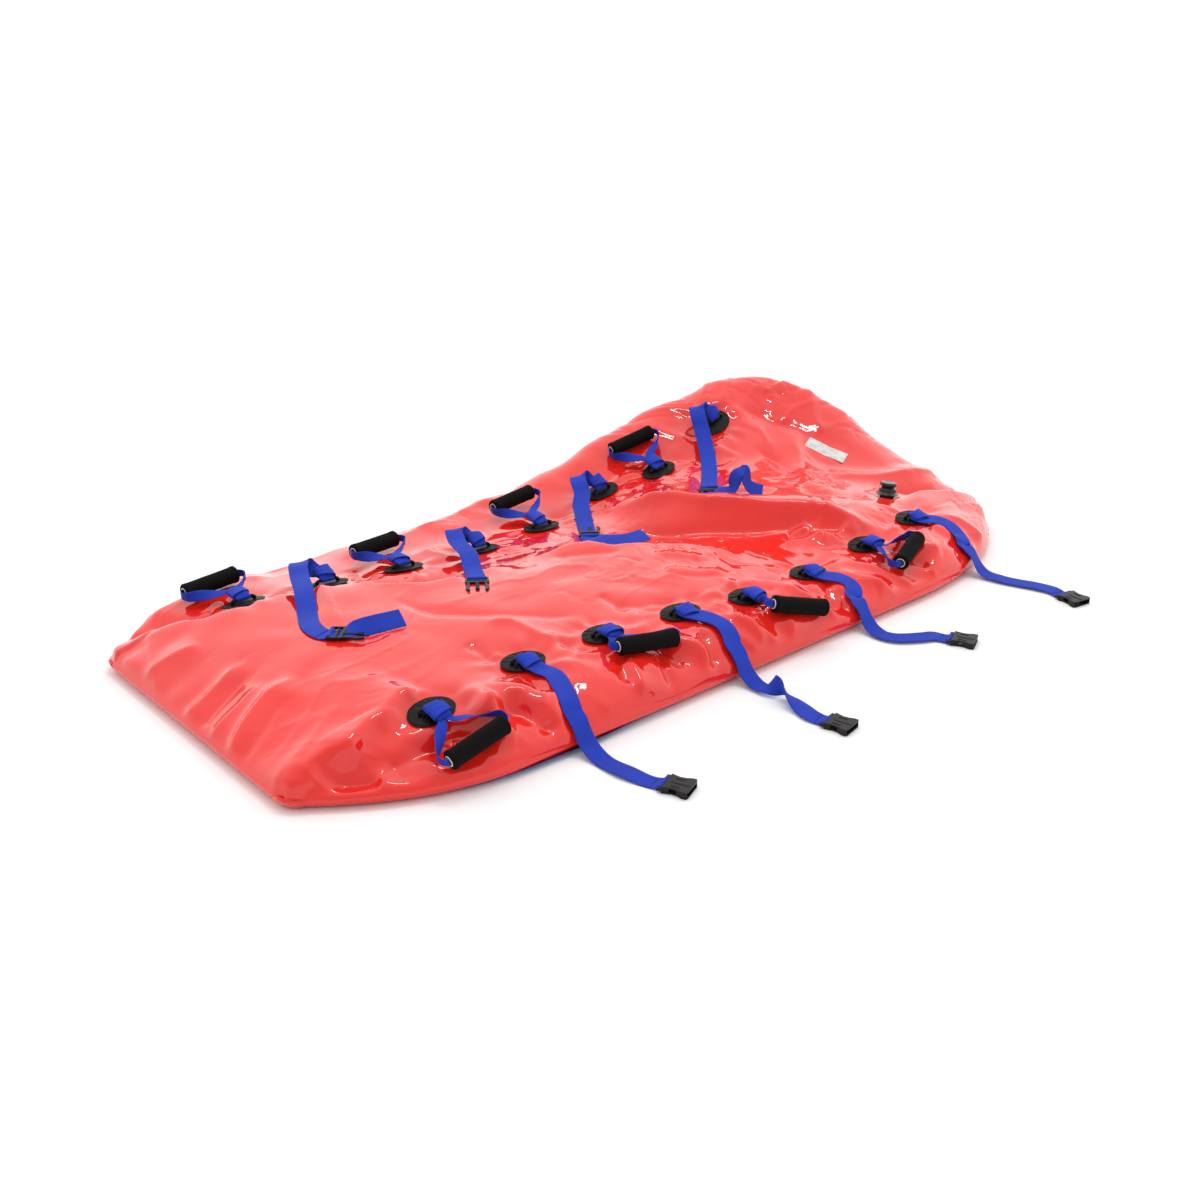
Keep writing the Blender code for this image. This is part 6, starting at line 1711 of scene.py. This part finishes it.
class MATTRESS_OT_label(PieceOperator, bpy.types.Operator):
    """Bare label: a thin sheet laid on the skin, its welded border 4 mm wide pressed down."""

    bl_idname = "mattress.label"
    bl_label = "Bare label"

    def execute(self, context):
        centre = middle_of("label")
        turn = math.radians(LABEL_TURN)
        u, v = np.meshgrid(*(np.linspace(-0.5, 0.5, count) for count in LABEL_GRID), indexing="ij")
        x = centre[0] + LABEL_LENGTH * u * math.cos(turn) - LABEL_WIDTH * v * math.sin(turn)
        y = centre[1] + LABEL_LENGTH * u * math.sin(turn) + LABEL_WIDTH * v * math.cos(turn)
        ground, _ = ground_at(x, y)
        border = np.minimum((0.5 - np.abs(u)) * LABEL_LENGTH, (0.5 - np.abs(v)) * LABEL_WIDTH)
        lift = 0.0007 + 0.0004 * smooth_step(border, *LABEL_BORDER)
        lift += 0.0003 * np.sin(u * 23.0) * (1 - 4 * v * v)
        top, low = (np.stack([x, y, ground + rise], 2) for rise in (lift, 0.0003))
        points, quads = slab(top, low)
        made = outward(add_mesh("label_piece", points, quads, finish("label_vinyl"), sharp=50))
        place_piece(made, "mattress", "label")
        return {"FINISHED"}


def spread_excess(excess, rounds):
    """Lower a whole neighbourhood where one point must go down, so that no step shows.

    The excess is averaged with its neighbours again and again, never below what is needed."""
    result = excess.copy()
    for _ in range(rounds):
        padded = np.pad(result, 1, mode="edge")
        mean = 0.25 * (padded[2:, 1:-1] + padded[:-2, 1:-1] + padded[1:-1, 2:] + padded[1:-1, :-2])
        result = np.maximum(excess, SPREAD_KEEPS * mean)
    return result


def quiet_places(x, y):
    """How lively the skin may be at each place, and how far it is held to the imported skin.

    Both change smoothly with the distance from the patches, the webbing, the valve and the label."""
    keep = np.ones(x.shape)
    hold = np.zeros(x.shape)
    for bar, _ in PORTS.values():
        ring = patch_rings(x, y, bar)
        keep *= smooth_step(ring, 1.0, 1.9)
        hold = np.maximum(hold, 1.0 - smooth_step(ring, 1.1, 2.0))
    for route in filter(None, NEAR_ROUTES + FAR_ROUTES + TAIL_ROUTES):
        far, _, _ = distance_to_lines(x, y, np.array(route)[:, :2])
        keep *= 0.45 + 0.55 * smooth_step(far, 0.012, 0.045)
        hold = np.maximum(hold, 0.85 * (1.0 - smooth_step(far, 0.015, 0.045)))
    for node in ("valve_body", "label"):
        middle = middle_of(node)
        far = np.hypot(x - middle[0], y - middle[1])
        keep *= 0.1 + 0.9 * smooth_step(far, 0.035, 0.085)
        hold = np.maximum(hold, 1.0 - smooth_step(far, 0.030, 0.060))
    return keep, hold


def excess_over_fittings(surface):
    """How far each point of the skin would rise through what lies on it."""
    fittings = [o for o in bpy.context.scene.objects if o.type == "MESH" and o.get("on_skin")]
    probe = surface.copy()
    probe[..., 2] = LOOK_FROM
    under, clear = dropped_on(probe, fittings, upward=True)
    excess = np.where(clear, 0.0, np.maximum(surface[..., 2] - (under - SKIN_CLEARANCE), 0.0))
    return np.where(excess > GREATEST_RISE, 0.0, excess)


def flange_of(edge):
    """At each point of the bag's edge, the way to the left of how the edge runs, and how much the
    bottom skin peeps out there."""
    way = np.roll(edge, -1, 0) - np.roll(edge, 1, 0)
    left = unit(np.column_stack([-way[:, 1], way[:, 0]]))
    shows = np.exp(-((edge[:, 0] - SHOWS_AT) / SHOWS_OVER) ** 2) * (edge[:, 1] < 0.0)
    return left, shows


def bead_fill_below(surface, normal, inset):
    """The bead fill: a slab under the top skin on every third point, drawn in along its edge."""
    step = slice(None, None, 3)
    own = (surface - normal * BEADS_BELOW)[step, step]
    spine = np.stack([np.clip(own[..., 0], *BEADS_SPINE), np.zeros(own.shape[:2])], 2)
    short = np.maximum(BEADS_IN - inset[step, step], 0.0)[..., None]
    own[..., :2] += unit(spine - own[..., :2]) * 1.5 * short
    own[..., 2] = np.maximum(own[..., 2] - 0.0020, 0.0045)
    own = own[1:-1, 1:-1]
    low = own.copy()
    low[..., 2] = BEADS_FLOOR
    points, quads = slab(own, low)
    return outward(add_mesh("bead_fill_piece", points, quads, finish("bead_white")))


class MATTRESS_OT_top_skin(PieceOperator, bpy.types.Operator):
    """Top skin with its hem, and the bead fill below it.

    Height over the plan is the beads' sheet rolled down to the seam. Folds, wrinkles, puckers at the
    patches and pleats on the walls move each point along its normal, and it's held under each
    fitting. Its webbing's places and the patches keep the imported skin's height."""

    bl_idname = "mattress.top_skin"
    bl_label = "Top skin"

    def execute(self, context):
        sizes = context.scene.mattress_sizes
        cell = sizes.cell
        along = rolled_steps(2.0 * HALF_LENGTH, FOOT_ROLL, SIDE_ROLL, END_DROP, cell) - HALF_LENGTH
        across = rolled_steps(2.0, 2.0 * SIDE_ROLL, 2.0 * SIDE_ROLL, SIDE_DROP, 2.0 * cell) - 1.0
        u, v = np.meshgrid(along, across, indexing="ij")
        x, y = plan_of(u, v)
        inset, _, _ = distance_to_lines(x, y, bag_outline(EDGE_COARSE), closed=True)
        rim = rim_loop(*x.shape)
        inset.ravel()[rim] = 0.0
        z = bag_height(x, y, inset)
        keep, hold = quiet_places(x, y)
        packed, missed = ground_at(x, y)
        z += (np.where(missed, z, packed) - z) * hold

        surface = np.stack([x, y, z], 2)
        normal = unit(np.cross(np.gradient(surface, axis=0), np.gradient(surface, axis=1)))
        normal = np.where(normal[..., 2:] < 0.0, -normal, normal)
        calm = 0.3 + 0.7 * smooth_step(inset, 0.0, 0.05)
        shift = sizes.fold_depth * folds_of(x, y) * keep
        shift += wrinkles_of(x, y, sizes.wrinkle_depth) * keep * calm
        shift += edge_folds_of(x, y, inset) * (0.3 + 0.7 * keep)
        shift += puckers_of(x, y)
        surface = surface + normal * (shift * smooth_step(inset, 0.0, 0.02))[..., None]
        surface[..., 2] -= spread_excess(excess_over_fittings(surface), SPREAD_ROUNDS)
        flat = surface.reshape(-1, 3)
        flat[:, 2] = np.maximum(flat[:, 2], SEAM_HEIGHT * 0.8)
        flat[rim, 2] = SEAM_HEIGHT

        edge = flat[rim]
        inward, shows = flange_of(edge)
        points = [flat]
        quads = [tuple(q) for q in grid_quads(*x.shape)]
        ring = rim
        for k, (off, height) in enumerate(HEM):
            drawn_in = np.minimum(off, HEM[-1][0] - SHOWS_BY * shows)[:, None]
            points.append(np.column_stack([
                edge[:, :2] + inward * drawn_in, np.maximum(height, SHOWS_RAISED * shows),
            ]))
            below = len(flat) + k * len(rim) + np.arange(len(rim))
            quads += [tuple(q) for q in np.stack([ring, below, np.roll(below, -1), np.roll(ring, -1)], 1)]
            ring = below
        made = outward(add_mesh("top_skin_piece", np.vstack(points), quads, finish("skin_red")), 1.0)
        place_piece(walled(made, sizes.skin_wall), "mattress", "top_skin")
        fill = bead_fill_below(surface, normal, inset)
        place_piece(fill, "mattress", "bead_fill")
        return {"FINISHED"}


class MATTRESS_OT_bottom_skin(PieceOperator, bpy.types.Operator):
    """Bottom skin: a turned-up flange carried round the bag's outline, and its flat underside."""

    bl_idname = "mattress.bottom_skin"
    bl_label = "Bottom skin"

    def execute(self, context):
        sizes = context.scene.mattress_sizes
        edge = bag_outline(EDGE_FINE)
        outwards, shows = flange_of(edge)
        rings = []
        for off, height, share in UNDERSIDE:
            plan = edge - outwards * (off - SHOWS_BY * shows * share)[:, None]
            rings.append(np.column_stack([plan, np.full(len(edge), height)]))
        quads = [tuple(q) for q in grid_quads(len(rings), len(edge), wrap_columns=True)]
        quads.append(tuple(range((len(rings) - 1) * len(edge), len(rings) * len(edge))))
        made = add_mesh("bottom_skin_piece", np.vstack(rings), quads, finish("skin_blue"), sharp=60)
        made = walled(outward(made, -1.0), sizes.skin_wall)
        place_piece(made, "mattress", "bottom_skin")
        return {"FINISHED"}


class MATTRESS_OT_stage(PieceOperator, bpy.types.Operator):
    """Pale floor, soft studio light and the camera at the picture's angle."""

    bl_idname = "mattress.stage"
    bl_label = "Stage"

    def execute(self, context):
        colours = context.scene.mattress_colours
        half = FLOOR_HALF
        points = [(-half, -half, 0.0), (half, -half, 0.0), (half, half, 0.0), (-half, half, 0.0)]
        paper, tree, shader, place = new_finish("floor_paper")
        mottle = noise_on(tree, place, scale=2.0, detail=2.0)
        pale = tuple(colours.floor)
        tree.links.new(mixed_colour(tree, mottle, tinted(pale, 0.99), pale), shader.inputs["Base Color"])
        put(shader, Roughness=0.95, Specular_IOR_Level=0.1)
        floor = add_mesh("floor", points, [(0, 1, 2, 3)], paper)

        world = bpy.data.worlds.new("studio")
        world.use_nodes = True
        tree = world.node_tree
        back = tree.nodes["Background"]
        back.inputs["Color"].default_value = (1.0, 1.0, 1.0, 1.0)
        away = add_node(tree, "ShaderNodeVectorMath", operation="DOT_PRODUCT")
        around = tree.nodes.new("ShaderNodeTexCoord").outputs["Generated"]
        tree.links.new(around, away.inputs[0])
        away.inputs[1].default_value = DOME_TOWARDS
        strength = ranged(tree, away.outputs["Value"], *DOME_RANGE, *DOME_STRENGTHS)
        strength.node.interpolation_type = "SMOOTHSTEP"
        tree.links.new(strength, back.inputs["Strength"])
        context.scene.world = world
        context.scene.view_settings.view_transform = "Standard"

        lamp = bpy.data.lights.new("strip", "AREA")
        lamp.shape = "RECTANGLE"
        lamp.size, lamp.size_y = STRIP_SIZE
        lamp.energy = STRIP_POWER
        strip = bpy.data.objects.new("strip", lamp)
        context.scene.collection.objects.link(strip)
        strip.location = STRIP_AT
        aim = Vector(STRIP_AIM) - Vector(STRIP_AT)
        strip.rotation_euler = aim.to_track_quat("-Z", "Y").to_euler()

        lens = bpy.data.cameras.new("camera")
        lens.sensor_width = SENSOR
        lens.lens = SENSOR * FOCAL_PIXELS / PICTURE_PIXELS
        lens.clip_end = 500.0
        view = bpy.data.objects.new("camera", lens)
        context.scene.collection.objects.link(view)
        view.location = CAMERA_AT
        view.rotation_euler = Vector(CAMERA_AHEAD).to_track_quat("-Z", "Y").to_euler()
        context.scene.camera = view
        return {"FINISHED"}


class MATTRESS_PT_pieces(bpy.types.Panel):
    """Sidebar panel with the pieces, their sizes and colours."""

    bl_label = "Vacuum mattress"
    bl_idname = "MATTRESS_PT_pieces"
    bl_space_type = "VIEW_3D"
    bl_region_type = "UI"
    bl_category = "Mattress"

    def draw(self, context):
        layout = self.layout
        for group in (context.scene.mattress_sizes, context.scene.mattress_colours):
            column = layout.column(align=True)
            for name in group.__annotations__:
                column.prop(group, name)
        column = layout.column(align=True)
        for operator in PIECES:
            column.operator(operator.bl_idname)


PIECES = (
    MATTRESS_OT_patches, MATTRESS_OT_grips, MATTRESS_OT_handle_webbing, MATTRESS_OT_near_straps,
    MATTRESS_OT_far_straps, MATTRESS_OT_buckles, MATTRESS_OT_valve, MATTRESS_OT_label,
    MATTRESS_OT_top_skin, MATTRESS_OT_bottom_skin, MATTRESS_OT_stage,
)
CLASSES = (MattressSizes, MattressColours) + PIECES + (MATTRESS_PT_pieces,)


def register():
    """Register the classes and the groups of sizes and colours."""
    for item in CLASSES:
        bpy.utils.register_class(item)
    bpy.types.Scene.mattress_sizes = bpy.props.PointerProperty(type=MattressSizes)
    bpy.types.Scene.mattress_colours = bpy.props.PointerProperty(type=MattressColours)


def unregister():
    """Take the classes and groups away again."""
    del bpy.types.Scene.mattress_colours
    del bpy.types.Scene.mattress_sizes
    for item in reversed(CLASSES):
        bpy.utils.unregister_class(item)


def main():
    """Make every piece in order."""
    register()
    bpy.ops.mattress.patches()
    bpy.ops.mattress.grips()
    bpy.ops.mattress.handle_webbing()
    bpy.ops.mattress.near_straps()
    bpy.ops.mattress.far_straps()
    bpy.ops.mattress.buckles()
    bpy.ops.mattress.valve()
    bpy.ops.mattress.label()
    bpy.ops.mattress.top_skin()
    bpy.ops.mattress.bottom_skin()
    bpy.ops.mattress.stage()


if __name__ == "__main__":
    main()
